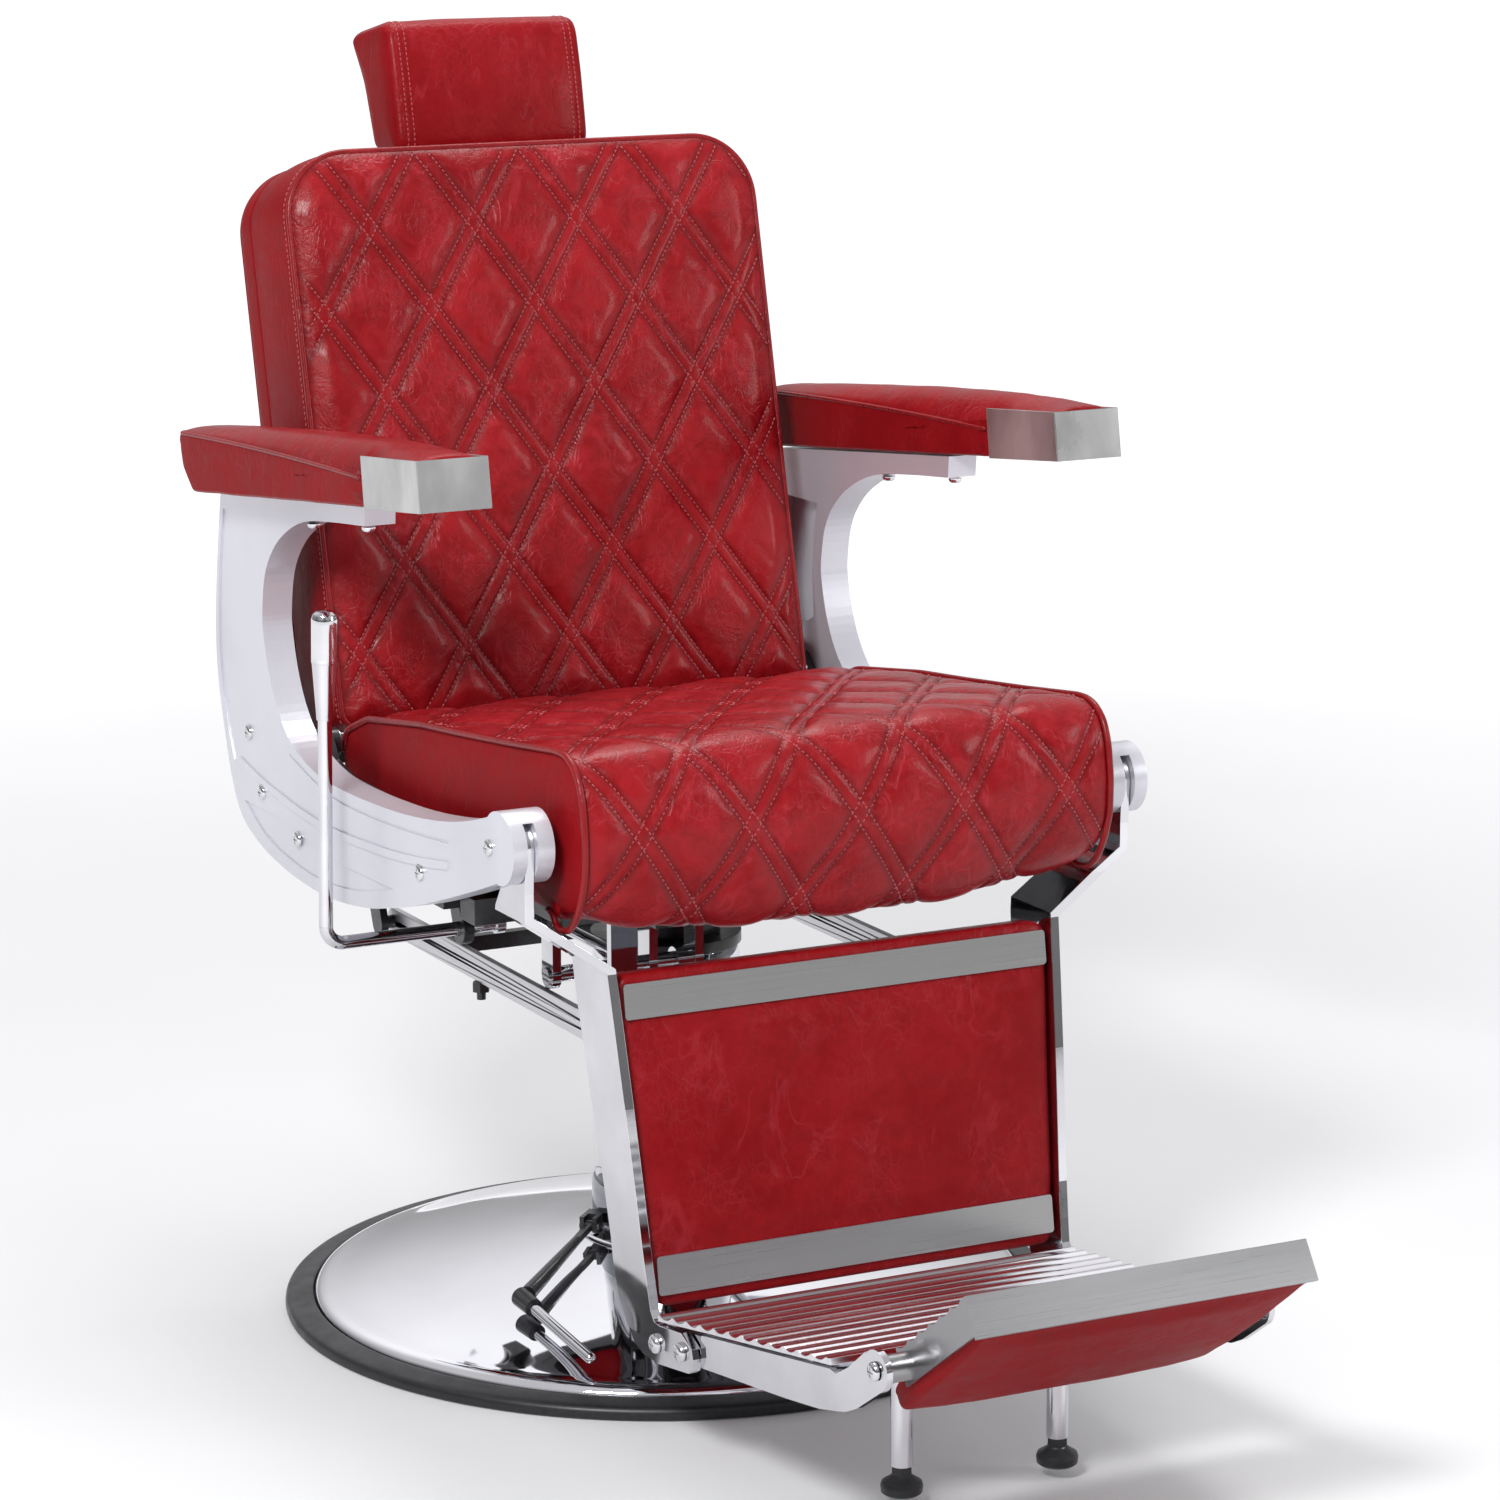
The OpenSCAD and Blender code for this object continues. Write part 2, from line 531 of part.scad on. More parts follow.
module leg_strips() {
  color([0.7, 0.7, 0.71]) leg_place() {
    translate([0, -0.2, 231]) rotate([90, 0, 0]) linear_extrude(1.8) plate2(195.5, 29, 3, 3);
    translate([0, -0.2, 5]) rotate([90, 0, 0]) linear_extrude(1.8) plate2(184.5, 32, 3, 3);
  }
}
module foot_bolts() {
  color("silver") both() {
    translate([leg_low + leg_t + 0.9, F[0], F[1]]) pan_screw(8, 5, 5, leg_t + 2);
    translate([leg_low + leg_t + 0.55, -378.9, 96.5]) pan_screw(8, 5, 5, leg_t + 2);
  }
}

// ---------- foot plate ----------
// outer face of the side brackets: they close in towards the front
function side_x(y) = 187.5 + 0.0645 * (y + 461);
tread_a = 8.9;
tread_l = 268;
module tread_place() { translate([0, -379, 116.5]) rotate([-tread_a, 0, 0]) mirror([0, 1, 0]) children(); }
module foot_tread() {
  color([0.82, 0.83, 0.86]) difference() {
    tread_place() difference() {
      translate([0, 0, -1.6]) linear_extrude(5.6) polygon([[-193.5, 0], [193.5, 0], [side_x(-460), 78], [side_x(-643), tread_l], [-side_x(-643), tread_l], [-side_x(-460), 78]]);
      for (i = [0 : 11]) xrod(-200, 200, [rib_pitch * 0.9 * i + 13.5, 16.6], 15.6);
    }
  }
}
module foot_bracket() {
  difference() {
    intersection() {
      union() {
        yz(160, 190) polygon([[-449, 96], [-482, 99.7], [-533.5, 105.2], [-577.5, 110.1], [-626.7, 116.7], [-664, 125.4], [-681, 133.5],
          [-714, 155.6], [-693, 182], [-669, 162.6], [-651, 152], [-643, 153.5], [-449, 123.2]]);
        xrod(160, 190, G, 16.5);
        yz(160, 190) polygon([[-449, 96], [-447, 96], [-447, 122], [-449, 123]]);
      }
      translate([0, 0, 60]) linear_extrude(160) polygon([[side_x(-440), -440], [side_x(-740), -740], [side_x(-740) - 5, -740], [side_x(-440) - 5, -440]]);
    }
    xrod(150, 190, G, 5.2);
    tread_place() translate([-200, -1, -1.6]) cube([400, 280, 20]);
  }
  // foot of the bracket, bolted inside the leg bar
  difference() {
    yz(leg_low - 6.5, leg_low - 0.01) polygon([[-449, 121.5], [-452, 96.2], [-366, 84.5], [-366, 109]]);
    xrod(150, 200, F, 5.3);
    xrod(150, 200, [-378.9, 96.5], 5.3);
    tread_place() translate([-200, -1, -1.6]) cube([400, 280, 20]);
  }
}
module foot_bracket_left() { color([0.8, 0.81, 0.84]) mirror([1, 0, 0]) foot_bracket(); }
module foot_bracket_right() { color([0.8, 0.81, 0.84]) foot_bracket(); }
module foot_posts() {
  color([0.75, 0.76, 0.78]) {
    both() difference() {
      translate([foot_x, foot_y, 33]) cylinder(r = 9, h = 125);
      translate([foot_x, foot_y, 30]) cylinder(r = 5.05, h = 85);
      tread_place() translate([0, 0, -1.6]) cube([300, 400, 80]);
    }
    both() translate([side_x(G[0]) + 0.4, G[0], G[1]]) pan_screw(7.5, 4.5, 5, 31);
  }
}
module foot_pad() {
  color([0.07, 0.07, 0.08]) translate([foot_x, foot_y, 9.6]) rotate_extrude($fn = 48) polygon([
    [0, 0], [14, 0], [16.5, 2], [17, 7], [16, 10], [9, 14.5], [7.8, 16], [7.8, 17.4], [0, 17.4]]);
  color("silver") translate([foot_x, foot_y, 27]) {
    cylinder(r = 5, h = 68);
    cylinder(r = 8.8, h = 5.6, $fn = 6);
  }
}
module foot_pad_left() { mirror([1, 0, 0]) foot_pad(); }
module foot_pad_right() { foot_pad(); }

// ---------- flip panel ----------
module flip_frame() {
  color([0.8, 0.81, 0.84]) flip_place() {
    difference() {
      union() {
        // front band
        translate([-147.5, 119, -16]) cube([295, 3, 29.5]);
        both() {
          // side flange
          translate([0, 0, -13]) linear_extrude(24) polygon([[147.5, 122], [144.2, 122], [140.5, -13], [143.5, -13]]);
          xrod(142, side_x(G[0]) - 6, [0, 0], 11);
        }
        // ribbed plate
        translate([0, 0, 11]) linear_extrude(6) polygon([[-147.5, 122], [147.5, 122], [143.5, -13], [-143.5, -13]]);
      }
      for (i = [0 : 5]) xrod(-200, 200, [1 + 20.5 * i, 33.1], 19);
      both() xrod(130, 200, [0, 0], 5.05);
    }
  }
}
module flip_pad() {
  color([0.6, 0.08, 0.12]) difference() {
    flip_place() translate([0, 0, -26]) linear_extrude(36.5) polygon([[-143.6, 118.5], [143.6, 118.5], [139.8, -13.5], [138, -62], [-138, -62], [-139.8, -13.5]]);
    flip_place() both() yz(138, 150) polygon([[118, -13.5], [125, -12], [125, 20], [118, 20]]);
    flip_place() yz(-160, 160) polygon([[125, -15.8], [60, -20.5], [0, -23.5], [-40, -24], [-56, -21.5], [-63, -15], [-70, -15], [-70, -40], [125, -40]]);
    flip_place() yz(-160, 160) polygon([[-14, 20], [-14, 8], [-30, 2], [-62, -2], [-80, -2], [-80, 20]]);
  }
}

base_plate();
base_ring();
base_dome();
dome_collar();
pump_housing();
pump_cylinder();
gland_bush();
column_sleeve();
column_cap();
base_bolts();
pedal_fulcrum();
pump_arm();
pedal_rod();
lift_ram();
ram_piston();
swivel_hub();
seat_frame();
seat_board();
seat_cushion();
side_frame_left();
side_frame_right();
frame_screws();
arm_pad_left();
arm_pad_right();
arm_cap_left();
arm_cap_right();
arm_screws();
leg_hinge_pins();
back_pivot_bolts();
lever_bracket();
cross_rod();
strut_rod();
recline_lever();
lever_grip();
strut_tube();
back_frame();
back_board();
back_cushion();
back_panel();
headrest_guides();
link_bar_left();
link_bar_right();
link_stop();
headrest_posts();
headrest_pad();
headrest_plate();
leg_bar_left();
leg_bar_right();
leg_crossbars();
leg_panel();
leg_strips();
foot_bolts();
foot_tread();
foot_bracket_left();
foot_bracket_right();
foot_posts();
flip_frame();
flip_pad();
foot_pad_left();
foot_pad_right();
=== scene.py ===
"""Hydraulic barber chair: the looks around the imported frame. Metres, row frame."""

import math

import bpy
import numpy as np
from mathutils import Matrix, Vector


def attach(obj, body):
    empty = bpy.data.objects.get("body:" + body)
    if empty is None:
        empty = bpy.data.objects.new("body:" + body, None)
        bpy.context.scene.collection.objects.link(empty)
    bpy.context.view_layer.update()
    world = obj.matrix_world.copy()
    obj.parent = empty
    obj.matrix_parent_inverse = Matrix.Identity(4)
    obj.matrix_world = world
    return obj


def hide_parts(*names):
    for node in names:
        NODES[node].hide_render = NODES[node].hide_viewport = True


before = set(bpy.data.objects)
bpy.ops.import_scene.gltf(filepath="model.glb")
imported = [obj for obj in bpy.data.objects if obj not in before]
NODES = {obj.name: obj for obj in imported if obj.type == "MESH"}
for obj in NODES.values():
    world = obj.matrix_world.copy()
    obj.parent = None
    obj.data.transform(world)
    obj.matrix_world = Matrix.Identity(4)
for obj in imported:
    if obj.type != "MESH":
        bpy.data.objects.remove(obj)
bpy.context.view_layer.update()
MM = 0.001

# ------------------------------------------------------------------ camera
cam_data = bpy.data.cameras.new("photo_camera")
cam = bpy.data.objects.new("photo_camera", cam_data)
bpy.context.scene.collection.objects.link(cam)
c_right = Vector((0.89186751, -0.45226962, -0.00495284))
c_up = Vector((0.09750749, 0.18156702, 0.97853243))
c_fwd = Vector((0.44166121, 0.87320422, -0.2060334))
cam.matrix_world = Matrix((
    (c_right.x, c_up.x, -c_fwd.x, -1.79439),
    (c_right.y, c_up.y, -c_fwd.y, -3.71374),
    (c_right.z, c_up.z, -c_fwd.z, 1.36326),
    (0, 0, 0, 1),
))
cam_data.sensor_width = 36
cam_data.lens = 115.6
cam_data.clip_start = 0.05
cam_data.clip_end = 400
bpy.context.scene.camera = cam

# ------------------------------------------------------------------ noise
_lat = np.random.default_rng(5).random((48, 48, 48)) * 2 - 1


def noise3(p, size, shift=0.0):
    """Smooth value noise of points (N, 3) with cells of that size, from -1 to 1."""
    q = np.asarray(p, float) / size + shift
    i = np.floor(q).astype(int)
    f = q - i
    f = f * f * (3 - 2 * f)
    i0, i1 = i % 48, (i + 1) % 48
    out = 0.0
    for a in (0, 1):
        for b in (0, 1):
            for c in (0, 1):
                w = (f[:, 0] if a else 1 - f[:, 0]) * (f[:, 1] if b else 1 - f[:, 1]) * (f[:, 2] if c else 1 - f[:, 2])
                out = out + w * _lat[(i1 if a else i0)[:, 0], (i1 if b else i0)[:, 1], (i1 if c else i0)[:, 2]]
    return out


# ------------------------------------------------------------------ materials
def new_mat(name):
    m = bpy.data.materials.new(name)
    m.use_nodes = True
    nt = m.node_tree
    b = nt.nodes["Principled BSDF"]
    tc = nt.nodes.new("ShaderNodeTexCoord")
    return m, nt, b, tc.outputs["Object"]


def scaled(nt, vec, sx, sy, sz, rot=(0, 0, 0)):
    n = nt.nodes.new("ShaderNodeMapping")
    n.inputs["Scale"].default_value = (sx, sy, sz)
    n.inputs["Rotation"].default_value = rot
    nt.links.new(vec, n.inputs["Vector"])
    return n.outputs["Vector"]


def noise(nt, vec, scale, detail=3.0, rough=0.5, dist=0.0):
    n = nt.nodes.new("ShaderNodeTexNoise")
    n.inputs["Scale"].default_value = scale
    n.inputs["Detail"].default_value = detail
    n.inputs["Roughness"].default_value = rough
    n.inputs["Distortion"].default_value = dist
    nt.links.new(vec, n.inputs["Vector"])
    return n.outputs["Fac"]


def voronoi(nt, vec, scale, feature="F1", rnd=1.0):
    n = nt.nodes.new("ShaderNodeTexVoronoi")
    n.feature = feature
    n.inputs["Scale"].default_value = scale
    n.inputs["Randomness"].default_value = rnd
    nt.links.new(vec, n.inputs["Vector"])
    return n.outputs["Distance"]


def remap(nt, fac, a, b, c, d, smooth=False):
    n = nt.nodes.new("ShaderNodeMapRange")
    n.interpolation_type = "SMOOTHSTEP" if smooth else "LINEAR"
    for k, v in zip(("From Min", "From Max", "To Min", "To Max"), (a, b, c, d)):
        n.inputs[k].default_value = v
    nt.links.new(fac, n.inputs["Value"])
    return n.outputs["Result"]


def math_op(nt, op, a, b):
    n = nt.nodes.new("ShaderNodeMath")
    n.operation = op
    for k, v in enumerate((a, b)):
        if isinstance(v, (int, float)):
            n.inputs[k].default_value = v
        else:
            nt.links.new(v, n.inputs[k])
    return n.outputs[0]


def mix(nt, fac, a, b, blend="MIX"):
    n = nt.nodes.new("ShaderNodeMix")
    n.data_type = "RGBA"
    n.blend_type = blend
    if isinstance(fac, (int, float)):
        n.inputs["Factor"].default_value = fac
    else:
        nt.links.new(fac, n.inputs["Factor"])
    for s, v in (("A", a), ("B", b)):
        sock = [i for i in n.inputs if i.name == s and i.type == "RGBA"][0]
        if isinstance(v, tuple):
            sock.default_value = (*v, 1.0)
        else:
            nt.links.new(v, sock)
    return [o for o in n.outputs if o.type == "RGBA"][0]


def bump(nt, height, strength, distance, normal=None):
    n = nt.nodes.new("ShaderNodeBump")
    n.inputs["Strength"].default_value = strength
    n.inputs["Distance"].default_value = distance
    nt.links.new(height, n.inputs["Height"])
    if normal is not None:
        nt.links.new(normal, n.inputs["Normal"])
    return n.outputs["Normal"]


def warp(nt, vec, scale, amount):
    """vec moved about by a coloured noise, so that lines wander."""
    n = nt.nodes.new("ShaderNodeTexNoise")
    n.inputs["Scale"].default_value = scale
    n.inputs["Detail"].default_value = 2
    nt.links.new(vec, n.inputs["Vector"])
    s = nt.nodes.new("ShaderNodeVectorMath")
    s.operation = "MULTIPLY_ADD"
    s.inputs[1].default_value = (amount, amount, amount)
    nt.links.new(n.outputs["Color"], s.inputs[0])
    nt.links.new(vec, s.inputs[2])
    return s.outputs[0]


def leather(name, dark, light, creases=1.0, rough=(0.27, 0.42), sewn=False, mottled=1.0, spec=0.17, coat=0.10):
    m, nt, b, v = new_mat(name)
    wide = noise(nt, v, 10.0, 4, 0.6, 0.4)
    mottle = noise(nt, v, 48.0, 5, 0.68, 0.9)
    tone = math_op(nt, "ADD", math_op(nt, "MULTIPLY", wide, 0.55), math_op(nt, "MULTIPLY", mottle, 0.45))
    mid = 0.5 * (1 - mottled)
    base = mix(nt, remap(nt, tone, 0.36, 0.64, mid, 1 - mid, True), dark, light)
    # long wandering creases, thick in patches
    lines = noise(nt, warp(nt, scaled(nt, v, 1.0, 1.0, 0.55, (0.25, 0.15, 0.4)), 30, 0.02), 21, 3, 0.55, 0.7)
    crease = remap(nt, math_op(nt, "ABSOLUTE", math_op(nt, "SUBTRACT", lines, 0.5), 0.0), 0.0, 0.030, 1, 0, True)
    w = warp(nt, v, 34, 0.028)
    edge = voronoi(nt, w, 62, "DISTANCE_TO_EDGE")
    vein = remap(nt, edge, 0.0, 0.055, 1, 0, True)
    w2 = warp(nt, scaled(nt, v, 1.0, 1.0, 0.45, (0.3, 0.2, 0.5)), 60, 0.02)
    edge2 = voronoi(nt, w2, 130, "DISTANCE_TO_EDGE")
    vein2 = remap(nt, edge2, 0.0, 0.09, 1, 0, True)
    patch = remap(nt, noise(nt, v, 16, 3, 0.6), 0.44, 0.60, 0, 1, True)
    patch2 = remap(nt, noise(nt, scaled(nt, v, 1, 1, 1, (0.7, 0.2, 0.1)), 13, 3, 0.6), 0.46, 0.60, 0, 1, True)
    veins = math_op(nt, "ADD", math_op(nt, "MULTIPLY", math_op(nt, "ADD", math_op(nt, "MULTIPLY", vein, 0.6), math_op(nt, "MULTIPLY", vein2, 0.45)), patch),
                    math_op(nt, "MULTIPLY", crease, patch2))
    # painted sheen: wispy pink highlights laid into the colour through stretched noise, in the pale pink shared with
    # the veins
    painted_sheen_wisp = math_op(nt, "MULTIPLY", remap(nt, noise(nt, scaled(nt, v, 1.0, 1.0, 0.6, (0.2, 0.5, 0.3)), 30, 6, 0.72, 1.4), 0.50, 0.70, 0, 1, True), patch2)
    vein_and_sheen_pink = tuple(min(1.0, c * 1.35 + q) for c, q in zip(light, (0.03, 0.030, 0.042)))
    shade = mix(nt, math_op(nt, "MULTIPLY", painted_sheen_wisp, 0.26 * creases), base, vein_and_sheen_pink)
    # the veins and creases take the same pale pink: partly the lighter colour pull-up leather has at its creases,
    # partly painted highlight
    shade = mix(nt, math_op(nt, "MULTIPLY", veins, 0.24 * min(1.0, creases)), shade, vein_and_sheen_pink)
    if sewn:  # painted shade: the sewn valleys are painted a little darker than the raised diamonds, for the shade that falls in them
        at = nt.nodes.new("ShaderNodeAttribute")
        at.attribute_name = "raised"
        # painted shade: where the mask is low, in the grooves and by the piping, the colour goes towards 0.4 of the
        # dark leather
        shade = mix(nt, remap(nt, at.outputs["Fac"], 0.0, 1.0, 0.74, 0.0), shade, tuple(c * 0.40 for c in dark))
    nt.links.new(shade, b.inputs["Base Color"])
    nt.links.new(remap(nt, math_op(nt, "ADD", math_op(nt, "MULTIPLY", wide, 0.4), math_op(nt, "MULTIPLY", mottle, 0.6)), 0.38, 0.62, rough[0], rough[1]), b.inputs["Roughness"])
    b.inputs["Specular IOR Level"].default_value = spec
    b.inputs["Coat Weight"].default_value = coat
    b.inputs["Coat Roughness"].default_value = 0.13
    b.inputs["Coat IOR"].default_value = 1.45
    grain = voronoi(nt, warp(nt, v, 300, 0.0015), 950, "F1")
    n0 = bump(nt, noise(nt, v, 40, 5, 0.64, 1.0), 0.42 * creases, 0.0030)
    n1 = bump(nt, veins, 0.50 * creases, -0.0008, n0)
    n2 = bump(nt, grain, 0.10, 0.00025, n1)
    nt.links.new(n2, b.inputs["Normal"])
    return m


M_LEATHER = leather("red_leather_main", (0.195, 0.0030, 0.0055), (0.300, 0.0070, 0.0110), sewn=True)
M_LEATHER_PLAIN = leather("red_leather_plain", (0.185, 0.0028, 0.0048), (0.268, 0.0060, 0.0090), 0.8, (0.30, 0.44), mottled=0.7, spec=0.11, coat=0.05)
# a duller, darker copy of the red leather for faces turned aside: painted shade
M_LEATHER_SHADED_SIDE = leather("red_leather_shaded_side", (0.190, 0.0032, 0.0055), (0.262, 0.0070, 0.0100), 0.35, (0.38, 0.52), mottled=0.6, spec=0.035, coat=0.012)
M_PIPING = leather("red_leather_piping", (0.17, 0.0035, 0.006), (0.25, 0.0075, 0.010), 0.5, (0.26, 0.36), spec=0.24, coat=0.08)


def thread():
    m, nt, b, v = new_mat("red_thread")
    fac = noise(nt, v, 900, 2)
    nt.links.new(mix(nt, fac, (0.27, 0.018, 0.024), (0.46, 0.055, 0.065)), b.inputs["Base Color"])
    nt.links.new(remap(nt, fac, 0.3, 0.7, 0.45, 0.65), b.inputs["Roughness"])
    b.inputs["Sheen Weight"].default_value = 0.3
    nt.links.new(bump(nt, noise(nt, scaled(nt, v, 1, 1, 1), 2600, 2), 0.5, 0.0002), b.inputs["Normal"])
    return m


M_THREAD = thread()


def metal(name, dark, light, rough, scale=18, smear=(1, 1, 1), bump_s=0.02, bump_scale=40, bump_d=0.0004, aniso=0.0, metallic=1.0):
    m, nt, b, v = new_mat(name)
    cloud = noise(nt, scaled(nt, v, *smear), scale, 4, 0.55)
    nt.links.new(mix(nt, remap(nt, cloud, 0.3, 0.7, 0, 1), dark, light), b.inputs["Base Color"])
    b.inputs["Metallic"].default_value = metallic
    nt.links.new(remap(nt, cloud, 0.3, 0.7, rough[0], rough[1]), b.inputs["Roughness"])
    if aniso:
        b.inputs["Anisotropic"].default_value = aniso
    nt.links.new(bump(nt, noise(nt, scaled(nt, v, *smear), bump_scale, 3, 0.6), bump_s, bump_d), b.inputs["Normal"])
    return m


M_CHROME = metal("chrome_mirror", (0.64, 0.64, 0.67), (0.74, 0.74, 0.77), (0.025, 0.075))
M_DOME = metal("chrome_dome", (0.80, 0.80, 0.84), (0.88, 0.88, 0.92), (0.02, 0.06), scale=7, bump_s=0.035, bump_scale=5, bump_d=0.002)
M_DARKCHROME = metal("chrome_dark", (0.20, 0.21, 0.24), (0.34, 0.35, 0.38), (0.05, 0.12), scale=12)
M_SATIN = metal("satin_band", (0.43, 0.43, 0.43), (0.47, 0.47, 0.47), (0.27, 0.31), scale=9, smear=(0.6, 0.6, 160), bump_s=0.05, bump_scale=24, bump_d=0.0001, aniso=0.5)
M_CAP = metal("satin_cap", (0.30, 0.30, 0.30), (0.62, 0.62, 0.62), (0.26, 0.32), scale=15, smear=(1.0, 1.0, 0.5), bump_s=0.01, bump_scale=60, bump_d=0.0001, metallic=0.72)
M_SATIN_FLIP = metal("satin_flip_band", (0.33, 0.33, 0.34), (0.37, 0.37, 0.38), (0.27, 0.31), scale=9, smear=(0.6, 160, 160), bump_s=0.05, bump_scale=24, bump_d=0.0001, aniso=0.5)
M_SATIN_BAR = metal("satin_bar", (0.60, 0.60, 0.62), (0.68, 0.68, 0.71), (0.34, 0.42), scale=5, smear=(60, 1, 60), bump_s=0.10, bump_scale=22, bump_d=0.0002, aniso=0.4)
M_TREAD = metal("tread_alloy", (0.70, 0.68, 0.72), (0.85, 0.84, 0.87), (0.10, 0.20), scale=9, smear=(0.4, 22, 22), bump_s=0.10, bump_scale=30, bump_d=0.0003, aniso=0.3)
M_SCREW = metal("screw_chrome", (0.62, 0.62, 0.64), (0.80, 0.80, 0.82), (0.12, 0.22), scale=120, bump_s=0.10, bump_scale=400, bump_d=0.0002)
M_STEEL = metal("steel_bare", (0.42, 0.42, 0.43), (0.58, 0.58, 0.60), (0.22, 0.36), scale=30, smear=(1, 1, 8), bump_s=0.1, bump_scale=120, bump_d=0.0002)
M_BRONZE = metal("bronze_bush", (0.42, 0.27, 0.10), (0.55, 0.38, 0.17), (0.25, 0.40), scale=40, bump_s=0.1, bump_scale=200)


def silver_paint():
    m, nt, b, v = new_mat("silver_paint_cast")
    cloud = noise(nt, v, 6, 3)
    flake = noise(nt, v, 1900, 2, 0.7)
    wide = mix(nt, remap(nt, cloud, 0.3, 0.7, 0, 1), (0.56, 0.56, 0.62), (0.66, 0.66, 0.72))
    nt.links.new(mix(nt, remap(nt, flake, 0.35, 0.7, 0, 0.35), wide, (0.82, 0.82, 0.88)), b.inputs["Base Color"])
    b.inputs["Metallic"].default_value = 0.45
    nt.links.new(remap(nt, flake, 0.3, 0.7, 0.30, 0.44), b.inputs["Roughness"])
    b.inputs["Coat Weight"].default_value = 0.25
    b.inputs["Coat Roughness"].default_value = 0.12
    n0 = bump(nt, noise(nt, v, 150, 3, 0.6), 0.06, 0.0006)
    nt.links.new(bump(nt, flake, 0.06, 0.0002, n0), b.inputs["Normal"])
    return m


M_SILVER = silver_paint()


def dark(name, c0, c1, rough, scale, bump_s, bump_d, coat=0.0, metallic=0.0, spec=0.5):
    m, nt, b, v = new_mat(name)
    f = noise(nt, v, scale, 4, 0.6)
    nt.links.new(mix(nt, remap(nt, f, 0.3, 0.7, 0, 1), c0, c1), b.inputs["Base Color"])
    nt.links.new(remap(nt, noise(nt, v, scale * 0.2, 3), 0.3, 0.7, rough[0], rough[1]), b.inputs["Roughness"])
    b.inputs["Metallic"].default_value = metallic
    b.inputs["Specular IOR Level"].default_value = spec
    if coat:
        b.inputs["Coat Weight"].default_value = coat
        b.inputs["Coat Roughness"].default_value = 0.15
    nt.links.new(bump(nt, f, bump_s, bump_d), b.inputs["Normal"])
    return m


M_RUBBER = dark("rubber_black", (0.010, 0.010, 0.012), (0.020, 0.020, 0.023), (0.32, 0.46), 260, 0.12, 0.0003)
M_BLACK = dark("steel_black", (0.010, 0.010, 0.012), (0.022, 0.022, 0.025), (0.28, 0.42), 300, 0.22, 0.0004, coat=0.25)
M_PLASTIC = dark("plastic_black", (0.012, 0.012, 0.013), (0.022, 0.022, 0.024), (0.26, 0.36), 500, 0.12, 0.0002)
M_PLATE = dark("plate_paint", (0.05, 0.05, 0.055), (0.08, 0.08, 0.085), (0.45, 0.6), 140, 0.2, 0.0004)


def plywood():
    m, nt, b, v = new_mat("plywood_ply")
    wv = nt.nodes.new("ShaderNodeTexWave")
    wv.inputs["Scale"].default_value = 60
    wv.inputs["Distortion"].default_value = 3
    nt.links.new(v, wv.inputs["Vector"])
    f = noise(nt, scaled(nt, v, 8, 8, 1), 30, 5)
    base = mix(nt, f, (0.32, 0.20, 0.09), (0.55, 0.38, 0.20))
    nt.links.new(mix(nt, math_op(nt, "MULTIPLY", wv.outputs["Fac"], 0.35), base, (0.22, 0.13, 0.06)), b.inputs["Base Color"])
    nt.links.new(remap(nt, f, 0.3, 0.7, 0.5, 0.7), b.inputs["Roughness"])
    nt.links.new(bump(nt, f, 0.2, 0.0004), b.inputs["Normal"])
    return m


M_PLY = plywood()

FINISH = {
    "base_plate": M_PLATE, "base_ring": M_RUBBER, "base_dome": M_DOME, "dome_collar": M_CHROME, "pump_housing": M_DARKCHROME,
    "pump_cylinder": M_STEEL, "gland_bush": M_BRONZE, "column_sleeve": M_CHROME, "column_cap": M_PLASTIC, "base_bolts": M_STEEL,
    "pedal_fulcrum": M_BLACK, "pump_arm": M_BLACK, "pedal_rod": M_CHROME, "lift_ram": M_CHROME, "ram_piston": M_STEEL,
    "swivel_hub": M_BLACK, "seat_frame": M_BLACK, "seat_board": M_BLACK, "side_frame_left": M_SILVER, "side_frame_right": M_SILVER,
    "frame_screws": M_SCREW, "arm_cap_left": M_CAP, "arm_cap_right": M_CAP, "arm_screws": M_SCREW, "leg_hinge_pins": M_STEEL,
    "back_pivot_bolts": M_STEEL, "lever_bracket": M_BLACK, "cross_rod": M_CHROME, "strut_rod": M_CHROME, "recline_lever": M_CHROME,
    "lever_grip": M_CHROME, "strut_tube": M_BLACK, "back_frame": M_BLACK, "back_board": M_PLY, "headrest_guides": M_SATIN_BAR,
    "link_bar_left": M_SATIN_BAR, "link_bar_right": M_SATIN_BAR, "link_stop": M_BLACK, "headrest_posts": M_CHROME,
    "headrest_plate": M_SATIN, "leg_bar_left": M_CHROME, "leg_bar_right": M_CHROME, "leg_crossbars": M_DARKCHROME,
    "leg_strips": M_SATIN, "foot_bolts": M_SCREW, "foot_tread": M_TREAD, "foot_bracket_left": M_CHROME,
    "foot_bracket_right": M_CHROME, "foot_posts": M_CHROME, "flip_frame": M_SATIN_FLIP, "foot_pad_left": M_RUBBER,
    "foot_pad_right": M_RUBBER, "seat_cushion": M_LEATHER, "arm_pad_left": M_LEATHER, "arm_pad_right": M_LEATHER,
    "back_cushion": M_LEATHER, "back_panel": M_LEATHER, "headrest_pad": M_LEATHER, "leg_panel": M_LEATHER, "flip_pad": M_LEATHER,
}
SMALL_EDGE = {"leg_bar_left": 1.3, "leg_bar_right": 1.3, "foot_bracket_left": 1.0, "foot_bracket_right": 1.0, "side_frame_left": 1.6,
              "side_frame_right": 1.6, "link_bar_left": 0.9, "link_bar_right": 0.9, "swivel_hub": 1.5, "seat_frame": 1.2,
              "back_frame": 1.0, "lever_bracket": 0.9, "flip_frame": 0.6, "leg_strips": 0.45, "arm_cap_left": 1.3, "arm_cap_right": 1.3,
              "pump_arm": 1.6, "pedal_fulcrum": 0.9, "foot_tread": 0.4}

